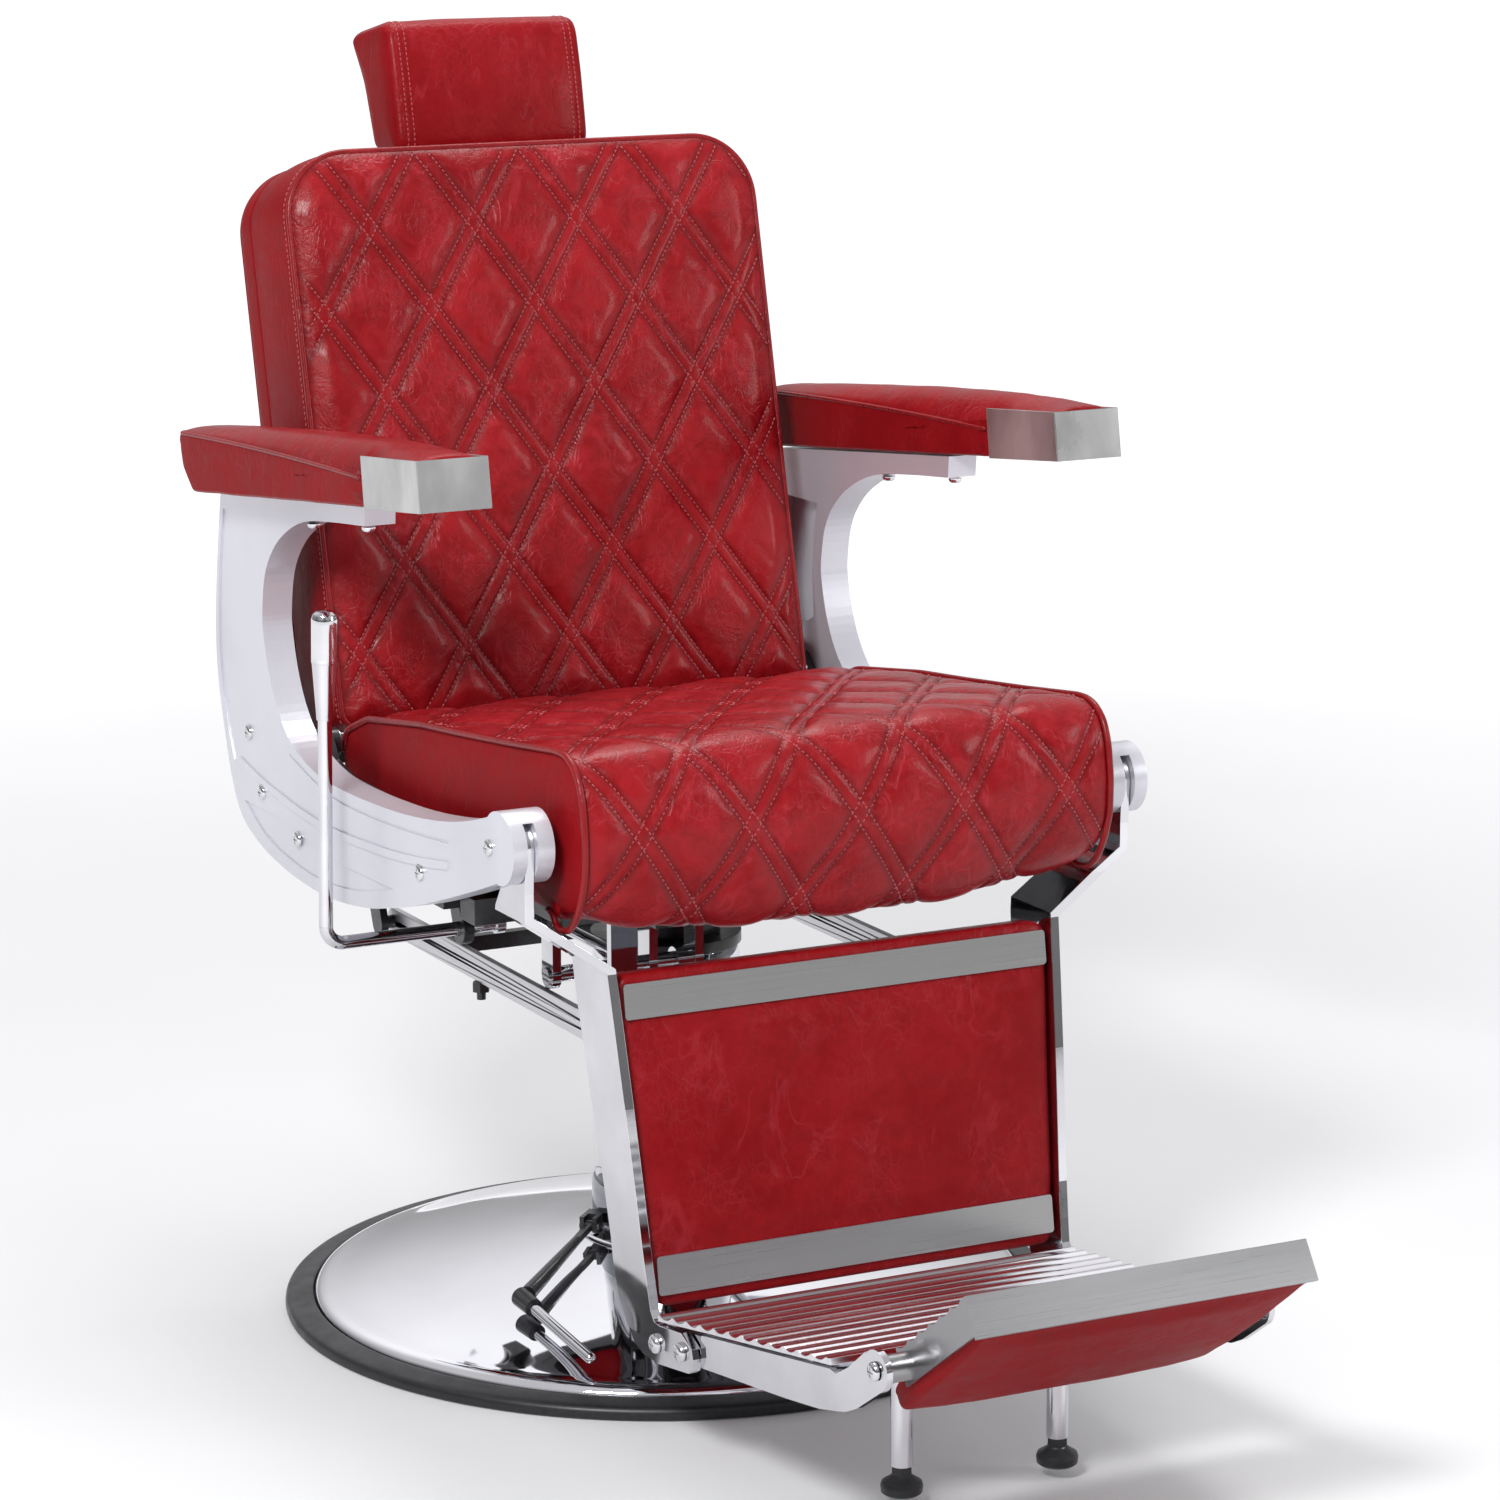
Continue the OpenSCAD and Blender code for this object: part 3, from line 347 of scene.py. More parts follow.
for name, o in NODES.items():
    if not o.material_slots:
        o.data.materials.append(FINISH[name])
    for s in o.material_slots:
        s.link = "OBJECT"
        s.material = FINISH[name]
    weld = o.modifiers.new("weld", "WELD")
    weld.merge_threshold = 1e-5
    bev = o.modifiers.new("edge", "BEVEL")
    bev.width = SMALL_EDGE.get(name, 0.4) * MM
    bev.segments = 2
    bev.limit_method = "ANGLE"
    bev.angle_limit = math.radians(38)
    bev.use_clamp_overlap = True
    bev.harden_normals = False
    wn = o.modifiers.new("shade", "WEIGHTED_NORMAL")
    wn.keep_sharp = True
    wn.weight = 60


# ------------------------------------------------------------------ mesh helpers
def add_mesh(name, verts, faces, mat, body, smooth=True):
    me = bpy.data.meshes.new(name)
    me.from_pydata([tuple(map(float, v)) for v in verts], [], [tuple(map(int, f)) for f in faces])
    me.validate()
    me.update()
    if smooth:
        me.polygons.foreach_set("use_smooth", np.ones(len(me.polygons), bool))
    me.materials.append(mat)
    o = bpy.data.objects.new(name, me)
    bpy.context.scene.collection.objects.link(o)
    if body:
        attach(o, body)
    return o


def closed_curve(poly, step, sigma):
    """A closed polygon in mm, resampled at an even step with its corners rounded. Returns points, outward normals, arc lengths."""
    p = np.asarray(poly, float)
    q = np.vstack([p, p[:1]])
    seg = np.linalg.norm(np.diff(q, axis=0), axis=1)
    cum = np.concatenate([[0], np.cumsum(seg)])
    n = int(round(cum[-1] / 0.5))
    t = np.arange(n) * cum[-1] / n
    c = np.stack([np.interp(t, cum, q[:, k]) for k in (0, 1)], 1)
    k = int(max(1, round(3 * sigma / 0.5)))
    w = np.exp(-0.5 * (np.arange(-k, k + 1) * 0.5 / max(sigma, 1e-6)) ** 2)
    w /= w.sum()
    pad = np.vstack([c[-k:], c, c[:k]])
    c = np.stack([np.convolve(pad[:, j], w, "valid") for j in (0, 1)], 1)
    q = np.vstack([c, c[:1]])
    cum = np.concatenate([[0], np.cumsum(np.linalg.norm(np.diff(q, axis=0), axis=1))])
    n = int(round(cum[-1] / step))
    t = np.arange(n) * cum[-1] / n
    c = np.stack([np.interp(t, cum, q[:, k]) for k in (0, 1)], 1)
    tan = np.roll(c, -1, 0) - np.roll(c, 1, 0)
    tan /= np.linalg.norm(tan, axis=1)[:, None]
    nrm = np.stack([tan[:, 1], -tan[:, 0]], 1)
    area = 0.5 * np.sum(c[:, 0] * np.roll(c[:, 1], -1) - np.roll(c[:, 0], -1) * c[:, 1])
    if area < 0:
        nrm = -nrm
    return c, nrm, t


def stack_faces(loops, n, flip=False):
    """Quads between loops 0..loops-1 of n points each, closed round."""
    i = np.arange(n)
    j = (i + 1) % n
    out = []
    for k in range(loops - 1):
        a, b = k * n, (k + 1) * n
        f = np.stack([a + i, a + j, b + j, b + i], 1)
        out.append(f[:, ::-1] if flip else f)
    return np.vstack(out).tolist()


def block(name, poly, hw, mat, body, step_s=2.4, step_x=2.4, sigma=4.0, edge_r=6.0, disp=None, bulge=3.0, x0=0.0, hwf=None, caps=9, tone=None):
    """A closed form with that side outline (y, z in mm), carried across x from -hw to hw about x0. disp(s, x, p, n) is its raised pattern in mm."""
    c, nr, s = closed_curve(poly, step_s, sigma)
    n = len(c)
    m = int(round(2 * hw / step_x)) + 1
    u = np.linspace(-1, 1, m)
    # closer stations at the two ends, where the surface turns
    xs = np.unique(np.concatenate([u * hw, hw - edge_r * (1 - np.cos(np.linspace(0, math.pi / 2, 6))), -hw + edge_r * (1 - np.cos(np.linspace(0, math.pi / 2, 6)))]))
    dx = hw - np.abs(xs)
    inset = np.where(dx < edge_r, edge_r - np.sqrt(np.maximum(0, edge_r ** 2 - (edge_r - dx) ** 2)), 0.0)
    S, X = np.meshgrid(s, xs)
    P = np.repeat(c[None], len(xs), 0)
    Nn = np.repeat(nr[None], len(xs), 0)
    D = -inset[:, None] * np.ones_like(S)
    if disp is not None:
        D = D + disp(S, X, P, Nn)
    Q = P + Nn * D[:, :, None]
    wf = np.ones_like(S) if hwf is None else hwf(P) / hw
    V = np.stack([x0 + X * wf, Q[:, :, 0], Q[:, :, 1]], 2)
    loops = [V[k] for k in range(len(xs))]
    cen = c.mean(0)
    for side, edge in ((1, V[-1]), (-1, V[0])):
        more = []
        for k in range(1, caps):
            t = 1 - (k / caps)
            yz = cen + (edge[:, 1:] - cen) * t
            x = edge[:, 0] + side * bulge * (1 - t ** 5) * 1.0
            x = x * t ** 0.0 + 0.0
            xm = edge[:, 0].mean() + side * bulge * (1 - t ** 5)
            x = x * min(1, t * 1.6) + xm * (1 - min(1, t * 1.6))
            if hwf is not None:
                x = x0 + side * (np.asarray(hwf(yz[None]))[0] + bulge * (1 - t ** 5))
            more.append(np.column_stack([x, yz]))
        if side > 0:
            loops = loops + more
        else:
            loops = more[::-1] + loops
    verts = np.vstack(loops)
    faces = stack_faces(len(loops), n)
    a = len(verts)
    c0 = np.array([loops[0][:, 0].mean(), cen[0], cen[1]])
    c1 = np.array([loops[-1][:, 0].mean(), cen[0], cen[1]])
    verts = np.vstack([verts, c0, c1])
    i = np.arange(n)
    j = (i + 1) % n
    faces += np.stack([j, i, np.full(n, a)], 1).tolist()
    last = (len(loops) - 1) * n
    faces += np.stack([last + i, last + j, np.full(n, a + 1)], 1).tolist()
    o = add_mesh(name, verts * MM, faces, mat, None)
    fix_out(o)
    # tone: the painted shade mask for the sewn grooves, kept on the points
    if tone is not None:
        val = np.ones(len(verts))
        first = (caps - 1) * n
        val[first:first + S.size] = tone(S, X).ravel()
        raised(o, val)
    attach(o, body)
    return o, (c, nr, s)


def fix_out(o):
    """Faces look outwards."""
    import bmesh
    bm = bmesh.new()
    bm.from_mesh(o.data)
    bmesh.ops.recalc_face_normals(bm, faces=bm.faces)
    bm.to_mesh(o.data)
    bm.free()
    o.data.update()


def slab(name, outline, front, sides, back, mat, body, place, step=2.2, sigma=2.0, ring=2.2, back_ring=8.0, centre=None, tone=None):
    """A cushion with a face. outline (a, b in mm); front(a, b, d) and back(a, b, d) are its heights, sides the (outset, height) loops between them."""
    c, nr, s = closed_curve(outline, step, sigma)
    n = len(c)
    cen = c.mean(0) if centre is None else np.array(centre, float)
    reach = np.max(np.linalg.norm(c - cen, axis=1))
    loops = []

    def rings(fn, size):
        k = max(3, int(np.percentile(np.linalg.norm(c - cen, axis=1), 30) / size))
        out = []
        for i in range(k):
            t = 1 - i / k
            p = cen + (c - cen) * t
            out.append(np.column_stack([p[:, 0], fn(p[:, 0], p[:, 1]), p[:, 1]]))
        return out

    fr = rings(front, ring)
    loops += fr[::-1]
    for off, h in sides:
        p = c + nr * off
        loops.append(np.column_stack([p[:, 0], np.full(n, h), p[:, 1]]))
    bk = rings(back, back_ring)
    loops += bk
    verts = np.vstack(loops)
    faces = stack_faces(len(loops), n)
    a = len(verts)
    c0 = np.array([cen[0], float(front(cen[:1], cen[1:])[0]), cen[1]])
    c1 = np.array([cen[0], float(back(cen[:1], cen[1:])[0]), cen[1]])
    verts = np.vstack([verts, c0, c1])
    i = np.arange(n)
    j = (i + 1) % n
    faces += np.stack([j, i, np.full(n, a)], 1).tolist()
    last = (len(loops) - 1) * n
    faces += np.stack([last + i, last + j, np.full(n, a + 1)], 1).tolist()
    w = place(verts)
    o = add_mesh(name, w * MM, faces, mat, None)
    fix_out(o)
    # tone: the painted shade mask for the sewn grooves, kept on the points
    if tone is not None:
        raised(o, tone(verts, len(fr) * n))
    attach(o, body)
    return o, (c, nr, s)


def tube(name, path, r, mat, body, closed=False, sides=10):
    """A round bead along that path (mm)."""
    p = np.asarray(path, float)
    n = len(p)
    tan = (np.roll(p, -1, 0) - np.roll(p, 1, 0)) if closed else np.gradient(p, axis=0)
    tan /= np.linalg.norm(tan, axis=1)[:, None]
    up = np.array([0.13, 0.29, 0.95])
    f1 = np.zeros_like(p)
    v = up - tan[0] * (up @ tan[0])
    v /= np.linalg.norm(v)
    for k in range(n):
        v = v - tan[k] * (v @ tan[k])
        v /= np.linalg.norm(v)
        f1[k] = v
    if closed:  # spread the leftover twist over the loop
        b = np.cross(tan[0], f1[0])
        v = f1[-1] - tan[0] * (f1[-1] @ tan[0])
        ang = math.atan2(v @ b, v @ f1[0])
        for k in range(n):
            a = -ang * k / n
            f1[k] = f1[k] * math.cos(a) + np.cross(tan[k], f1[k]) * math.sin(a)
    f2 = np.cross(tan, f1)
    th = np.arange(sides) * 2 * math.pi / sides
    rr = np.full(n, r) if np.isscalar(r) else np.asarray(r, float)
    V = p[:, None] + rr[:, None, None] * (f1[:, None] * np.cos(th)[None, :, None] + f2[:, None] * np.sin(th)[None, :, None])
    faces = stack_faces(n, sides)
    verts = V.reshape(-1, 3)
    if closed:
        i = np.arange(sides)
        j = (i + 1) % sides
        a = (n - 1) * sides
        faces += np.stack([a + i, a + j, j, i], 1).tolist()
    else:
        verts = np.vstack([verts, p[0] - tan[0] * rr[0] * 0.6, p[-1] + tan[-1] * rr[-1] * 0.6])
        i = np.arange(sides)
        j = (i + 1) % sides
        a = (n - 1) * sides
        faces += np.stack([j, i, np.full(sides, n * sides)], 1).tolist()
        faces += np.stack([a + i, a + j, np.full(sides, n * sides + 1)], 1).tolist()
    o = add_mesh(name, verts * MM, faces, mat, None)
    fix_out(o)
    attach(o, body)
    return o


def stitch_mesh(name, a, b, nrm, r, mat, body):
    """Many short thread stitches from points a to b (mm), each a little arched bead."""
    a, b, nrm = (np.asarray(v, float) for v in (a, b, nrm))
    d = b - a
    length = np.linalg.norm(d, axis=1)
    d /= length[:, None]
    side = np.cross(d, nrm)
    side /= np.linalg.norm(side, axis=1)[:, None]
    up = np.cross(side, d)
    ts = np.array([0.0, 0.14, 0.5, 0.86, 1.0])
    rs = np.array([0.35, 0.9, 1.0, 0.9, 0.35]) * r
    lift = np.array([-0.55, 0.1, 0.35, 0.1, -0.55]) * r
    k = 6
    th = np.arange(k) * 2 * math.pi / k
    rings = []
    for t, q, l in zip(ts, rs, lift):
        base = a + d * (length * t)[:, None] + up * l
        ring = base[:, None] + q * (side[:, None] * np.cos(th)[None, :, None] + up[:, None] * np.sin(th)[None, :, None])
        rings.append(ring)
    V = np.stack(rings, 1)  # stitches, rings, k, 3
    m = len(a)
    verts = V.reshape(-1, 3)
    i = np.arange(k)
    j = (i + 1) % k
    one = []
    for q in range(len(ts) - 1):
        one.append(np.stack([q * k + i, q * k + j, (q + 1) * k + j, (q + 1) * k + i], 1))
    one = np.vstack(one)
    per = len(ts) * k
    faces = (one[None] + (np.arange(m) * per)[:, None, None]).reshape(-1, 4).tolist()
    faces += (np.arange(k)[::-1][None] + (np.arange(m) * per)[:, None]).tolist()
    faces += ((per - k + np.arange(k))[None] + (np.arange(m) * per)[:, None]).tolist()
    return add_mesh(name, verts * MM, faces, mat, body)


def lathe(name, prof, mat, body, centre=(0, 0, 0), segs=160, closed=False):
    """Turned form about z: prof is (radius, height) in mm from first to last."""
    p = np.asarray(prof, float)
    th = np.arange(segs) * 2 * math.pi / segs
    loops = [np.column_stack([r * np.cos(th), r * np.sin(th), np.full(segs, z)]) for r, z in p]
    verts = np.vstack(loops) + np.asarray(centre, float)
    faces = stack_faces(len(loops), segs)
    if closed:
        i = np.arange(segs)
        j = (i + 1) % segs
        a = (len(loops) - 1) * segs
        faces += np.stack([a + i, a + j, j, i], 1).tolist()
    else:
        faces.append(list(range(segs))[::-1])
        faces.append([(len(loops) - 1) * segs + i for i in range(segs)])
    o = add_mesh(name, verts * MM, faces, mat, None)
    fix_out(o)
    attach(o, body)
    return o


def quilt(u, v, a, b, u0, v0, height=5.2, gap=6.0, reach=21.0):
    """Raised diamonds between pairs of sewn lines. Returns the height in mm and the distance to the nearer pair's middle."""
    g = math.sqrt(1 / a ** 2 + 1 / b ** 2) / 2
    p = ((u - u0) / a + (v - v0) / b) / 2
    q = ((u - u0) / a - (v - v0) / b) / 2
    d1 = np.abs(p - np.round(p)) / g
    d2 = np.abs(q - np.round(q)) / g

    def puff(d):
        e = np.clip((d - gap) / reach, 0, 1)
        return 1 - (1 - e) ** 2.3

    def band(d):
        return np.where(d < gap, 1 - (d / gap) ** 2.6, 0.0)

    def cut(d):
        return np.exp(-((d - gap) / 1.25) ** 2)

    h = height * puff(d1) * puff(d2)
    h = h + 1.0 * np.maximum(band(d1), band(d2))
    h = h - 0.9 * np.maximum(cut(d1), cut(d2))
    e = np.maximum(np.minimum(d1, d2) - gap, 0)
    # small puckers drawn in by the stitches
    along = np.where(d1 < d2, v * 0.8 + u * 0.5, v * 0.8 - u * 0.5)
    h = h + 0.30 * np.exp(-e / 6.5) * (e > 0) * np.sin(along * 2 * math.pi / 10.5 + 2.2 * np.sin(along / 23.0))
    return h, np.minimum(d1, d2)


def quilt_lines(a, b, u0, v0, gap, lo, hi, inside, pitch=4.7, dash=3.3):
    """The ends of every stitch of the sewn pairs, as two lists of (u, v)."""
    g = math.sqrt(1 / a ** 2 + 1 / b ** 2) / 2
    starts, ends = [], []
    for fam in (1, -1):
        nrm = np.array([1 / a, fam / b]) / 2 / g
        tan = np.array([-nrm[1], nrm[0]])
        if tan[1] < 0:
            tan = -tan
        corners = np.array([[lo[0], lo[1]], [hi[0], lo[1]], [lo[0], hi[1]], [hi[0], hi[1]]]) - (u0, v0)
        k = corners @ nrm * g
        t = corners @ tan
        for i in range(int(math.floor(k.min())), int(math.ceil(k.max())) + 1):
            for side in (-1, 1):
                off = i / g + side * gap
                ts = np.arange(t.min(), t.max(), pitch)
                p0 = nrm[None] * off + tan[None] * ts[:, None] + (u0, v0)
                p1 = p0 + tan * dash
                ok = inside(p0[:, 0], p0[:, 1]) & inside(p1[:, 0], p1[:, 1])
                starts.append(p0[ok])
                ends.append(p1[ok])
    return np.vstack(starts), np.vstack(ends)


def raised(o, value):
    """Keeps the painted shade mask of each point, from 0 in the sewn lines to 1 on the raised leather, for the
    leather's colour.
    """
    at = o.data.attributes.new("raised", "FLOAT", "POINT")
    v = np.ones(len(o.data.vertices), np.float32)
    v[: len(value)] = np.clip(value, 0, 1)
    at.data.foreach_set("value", v)


def shaded_side_slot(o, mat, axis=(1.0, 0.0, 0.0), low=0.72, high=1.01):
    """Faces turned that much along the axis, either way, get the second material, a duller, darker copy of the leather:
    painted shade and less sheen on those sides.
    """
    o.data.materials.append(mat)
    n = len(o.data.polygons)
    nm = np.empty(3 * n)
    o.data.polygons.foreach_get("normal", nm)
    d = np.abs(nm.reshape(-1, 3) @ np.asarray(axis))
    o.data.polygons.foreach_set("material_index", ((d > low) & (d < high)).astype(np.int32))
    o.data.update()


def ramp01(x):
    x = np.clip(x, 0, 1)
    return x * x * (3 - 2 * x)


# ------------------------------------------------------------------ back
LEAN = math.radians(13)


def back_place(v):
    """Back's own frame to the row frame, mm."""
    v = np.asarray(v, float)
    y = v[:, 1] * math.cos(LEAN) + v[:, 2] * math.sin(LEAN)
    z = -v[:, 1] * math.sin(LEAN) + v[:, 2] * math.cos(LEAN)
    return np.column_stack([v[:, 0], y + 168, z + 506])


def rrect(hw, z0, z1, rt, rb, n=14):
    out = []
    for cx, cz, r, a0 in ((hw - rt, z1 - rt, rt, 0), (-hw + rt, z1 - rt, rt, 90), (-hw + rb, z0 + rb, rb, 180), (hw - rb, z0 + rb, rb, 270)):
        for k in range(n + 1):
            t = math.radians(a0 + 90 * k / n)
            out.append((cx + r * math.cos(t), cz + r * math.sin(t)))
    return out


def rrect_depth(x, z, hw, z0, z1, rt, rb):
    """How far inside the rounded outline a point is."""
    cz = (z0 + z1) / 2
    hz = (z1 - z0) / 2
    r = np.where(z > cz, rt, rb)
    qx = np.abs(x) - (hw - r)
    qz = np.abs(z - cz) - (hz - r)
    out = np.minimum(np.maximum(qx, qz), 0) + np.hypot(np.maximum(qx, 0), np.maximum(qz, 0)) - r
    return -out


BW, BH = 230.0, 511.0
B_LAT = dict(a=50.9, b=75.3, u0=-6.0, v0=366.6)


def back_front(x, z):
    d = np.maximum(rrect_depth(x, z, BW, 1, BH, 58, 14), 0)
    q, _ = quilt(x, z, **B_LAT)
    fade = ramp01((d - 3) / 22.0)
    crown = (1 - (x / BW) ** 4) * (1 - ((z - BH / 2) / (BH / 2)) ** 4)
    p = np.column_stack([x, z * 0, z])
    soft = 0.7 * noise3(p, 46.0) + 0.25 * noise3(p, 17.0, 3.3)
    edge = 7.5 * np.exp(-d / 6.5)
    return edge - 1.2 - 2.2 * np.clip(crown, 0, 1) - q * fade - soft * fade


back_outline = rrect(BW, 1, BH, 58, 14)
gusset = [(0.6, 8.6), (1.2, 11), (1.6, 14)] + [(1.7 + 1.6 * math.sin(math.pi * k / 12), 14 + 80 * k / 12) for k in range(1, 12)] + [(1.7, 96), (1.6, 99.0), (0.6, 99.9)]


def sewn_groove_shade(u, v, depth, lat):
    """Painted shade mask: 0 in the sewn lines and against the piping, where shade is painted, 1 on the raised leather.
    """
    _, d = quilt(u, v, **lat)
    e = np.maximum(d - 6.0, 0)
    t = 0.22 + 0.78 * ramp01(e / 6.0)
    t = np.where(d < 6.0, 0.92 - 0.80 * np.exp(-((d - 6.0) / 1.7) ** 2), t)
    return t * (0.35 + 0.65 * ramp01((depth + 1) / 10.0))


# painted shade on the back's front face, in its sewn lines and against its piping
def back_groove_shade(v, count):
    t = np.ones(len(v))
    x, z = v[:count, 0], v[:count, 2]
    t[:count] = sewn_groove_shade(x, z, rrect_depth(x, z, BW, 1, BH, 58, 14), B_LAT)
    return t


back_pad, (bc, bn, bs) = slab("back_cushion_soft", back_outline, back_front, gusset, lambda x, z: x * 0 + 100.0, M_LEATHER, "backrest", back_place, tone=back_groove_shade)
shaded_side_slot(back_pad, M_LEATHER_SHADED_SIDE, (0.0, math.cos(LEAN), -math.sin(LEAN)), -1.0, 0.55)
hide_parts("back_cushion")

piping = tube("back_piping", back_place(np.column_stack([bc[:, 0] + bn[:, 0] * 0.3, np.full(len(bc), 7.0), bc[:, 1] + bn[:, 1] * 0.3])), 2.7, M_PIPING, "backrest", closed=True)


def along_loop(c, nr, s, total, off, h, place, a0, a1, pitch=5.0, dash=3.4):
    """Stitches along a loop, offset along its normal, at height h."""
    t = np.arange(a0, a1, pitch)
    cc = np.vstack([c, c[:1]])
    nn = np.vstack([nr, nr[:1]])
    ss = np.append(s, total)

    def at(q):
        q = np.mod(q, total)
        p = np.stack([np.interp(q, ss, cc[:, k]) for k in (0, 1)], 1)
        m = np.stack([np.interp(q, ss, nn[:, k]) for k in (0, 1)], 1)
        return p + m * off, m

    p0, m0 = at(t)
    p1, _ = at(t + dash)
    a = place(np.column_stack([p0[:, 0], np.full(len(t), h), p0[:, 1]]))
    b = place(np.column_stack([p1[:, 0], np.full(len(t), h), p1[:, 1]]))
    n0 = place(np.column_stack([m0[:, 0], np.zeros(len(t)), m0[:, 1]])) - place(np.zeros((1, 3)))
    return a, b, n0


bt = bs[-1] + (bs[1] - bs[0])
a, b, n = along_loop(bc, bn, bs, bt, 1.9, 14.5, back_place, 0, bt - 4)
welt_st = stitch_mesh("back_welt_stitches", a, b, n, 0.66, M_THREAD, "backrest")

inside = lambda u, v: rrect_depth(u, v, BW, 1, BH, 58, 14) > 4.5
p0, p1 = quilt_lines(B_LAT["a"], B_LAT["b"], B_LAT["u0"], B_LAT["v0"], 6.0, (-BW, 0), (BW, BH), inside)
h0, h1 = back_front(p0[:, 0], p0[:, 1]), back_front(p1[:, 0], p1[:, 1])
e = 1.0
nx = -(back_front(p0[:, 0] + e, p0[:, 1]) - back_front(p0[:, 0] - e, p0[:, 1])) / 2
nz = -(back_front(p0[:, 0], p0[:, 1] + e) - back_front(p0[:, 0], p0[:, 1] - e)) / 2
nl = np.column_stack([-nx * 0.3, -np.ones(len(p0)), -nz * 0.3])
quilt_st = stitch_mesh("back_quilt_stitches", back_place(np.column_stack([p0[:, 0], h0 - 0.15, p0[:, 1]])), back_place(np.column_stack([p1[:, 0], h1 - 0.15, p1[:, 1]])),
                       back_place(nl) - back_place(np.zeros((1, 3))), 0.72, M_THREAD, "backrest")


# rear shell, crowned
def shell_rear(x, z):
    d = np.maximum(rrect_depth(x, z, BW, 1, BH, 58, 14), 0)
    crown = (1 - (x / BW) ** 2) * (1 - np.abs((z - BH / 2) / (BH / 2)) ** 2.6)
    p = np.column_stack([x, z * 0 + 90, z])
    return 131.6 + 0.9 * (1 - np.exp(-d / 9.0)) + 3.6 * np.clip(crown, 0, 1) + 0.5 * noise3(p, 60.0) * ramp01(d / 30)


shell_outline = rrect(BW + 0.4, 0.8, BH + 0.4, 58, 14)
shell_sides = [(0.4, 100.1), (1.3, 100.9), (1.5, 103), (1.7, 109), (1.7, 116), (1.7, 122), (1.1, 126.2), (-0.6, 129.0), (-2.8, 131.4)]
shell, (sc_, sn_, ss_) = slab("back_shell_soft", shell_outline, lambda x, z: x * 0 + 100.7, shell_sides, shell_rear, M_LEATHER_PLAIN, "backrest", back_place, ring=12.0, back_ring=4.0)
shaded_side_slot(shell, M_LEATHER_SHADED_SIDE, (0.0, math.cos(LEAN), -math.sin(LEAN)), -1.0, 0.8)
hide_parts("back_panel")

# ------------------------------------------------------------------ seat
SEAT = [(154, 492), (142, 513.5), (93, 532.5), (-26, 549.0), (-108, 556.5), (-212, 567), (-300, 577), (-318, 577), (-331, 572.5), (-344, 562), (-352.5, 543),
        (-357, 512), (-356, 483), (-347, 458), (-336, 440), (-323, 429.0), (-306, 425.6), (-293.5, 427.5), (-290.8, 437.5), (134, 437.7), (146, 442), (150, 462)]
SW = 241.5
S_LAT = dict(a=48.7, b=71.8, u0=4.0, v0=574.0)


def seat_disp(S, X, P, N):
    shp = S.shape
    d = np.minimum(SW - np.abs(X), np.minimum(S + 6, 690 - S))
    q, _ = quilt(X.ravel(), S.ravel(), **S_LAT, height=3.8)
    q = q.reshape(shp)
    fade = ramp01((SW - np.abs(X) - 3) / 20.0) * ramp01((S - 6) / 20) * ramp01((688 - S) / 16)
    pts = np.column_stack([X.ravel(), P[:, :, 0].ravel(), P[:, :, 1].ravel()])
    soft = (1.1 * noise3(pts, 70.0, 1.7) + 0.3 * noise3(pts, 19.0, 4.4)).reshape(shp)
    crown = (1 - (X / SW) ** 4) * ramp01((S - 10) / 120) * ramp01((700 - S) / 60)
    edge = -4.2 * np.exp(-np.maximum(SW - np.abs(X), 0) / 7.0)
    # the front hangs a little below its board in the middle
    sag = (11.0 - 25.0 * np.abs(X / SW) ** 2.6) * np.exp(-((S - 674) / 34.0) ** 2)
    top = (q - 2.0) * fade + soft * fade + 2.2 * crown + edge + sag
    under = ramp01((S - 688) / 20)
    return top * (1 - under) + under * edge * 0.3 - 0.6


# the seat's tone paints shade into its sewn lines and along its sides
seat, (qc, qn, qs) = block("seat_cushion_soft", SEAT, SW, M_LEATHER, "seat", step_s=2.3, step_x=2.3, sigma=5.0, edge_r=5.0, disp=seat_disp, bulge=3.4, caps=14,
                           tone=lambda S, X: np.where(S < 705, sewn_groove_shade(X.ravel(), S.ravel(), (SW - np.abs(X)).ravel(), S_LAT).reshape(S.shape), 1.0))
shaded_side_slot(seat, M_LEATHER_SHADED_SIDE)
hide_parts("seat_cushion")


def seat_at(s, x):
    """Points and normals of the seat's raised surface."""
    tot = qs[-1] + (qs[1] - qs[0])
    cc, nn, s3 = np.vstack([qc, qc[:1]]), np.vstack([qn, qn[:1]]), np.append(qs, tot)
    p = np.stack([np.interp(s, s3, cc[:, k]) for k in (0, 1)], 1)
    m = np.stack([np.interp(s, s3, nn[:, k]) for k in (0, 1)], 1)
    d = seat_disp(s[None], x[None], p[None], m[None])[0]
    q = p + m * d[:, None]
    return np.column_stack([x, q]), np.column_stack([x * 0, m])


inside = lambda u, v: (np.abs(u) < SW - 5) & (v > 12) & (v < 684)
p0, p1 = quilt_lines(S_LAT["a"], S_LAT["b"], S_LAT["u0"], S_LAT["v0"], 6.0, (-SW, 0), (SW, 690), inside)
A0, N0 = seat_at(p0[:, 1], p0[:, 0])
A1, _ = seat_at(p1[:, 1], p1[:, 0])
st = stitch_mesh("seat_quilt_stitches", A0 + N0 * 0.15, A1 + N0 * 0.15, N0, 0.72, M_THREAD, "seat")
for side, tag in ((-1, "left"), (1, "right")):
    keep = (qs < 712)
    path = np.column_stack([np.full(keep.sum(), side * (SW - 0.6)), qc[keep] + qn[keep] * -2.6])
    pp = tube(f"seat_piping_{tag}", path, 2.9, M_PIPING, "seat")

# ------------------------------------------------------------------ arm pads
ARM = [(291, 707.6), (315, 727), (321, 746), (317, 753.8), (-219.6, 800.6), (-225.6, 761.5)]


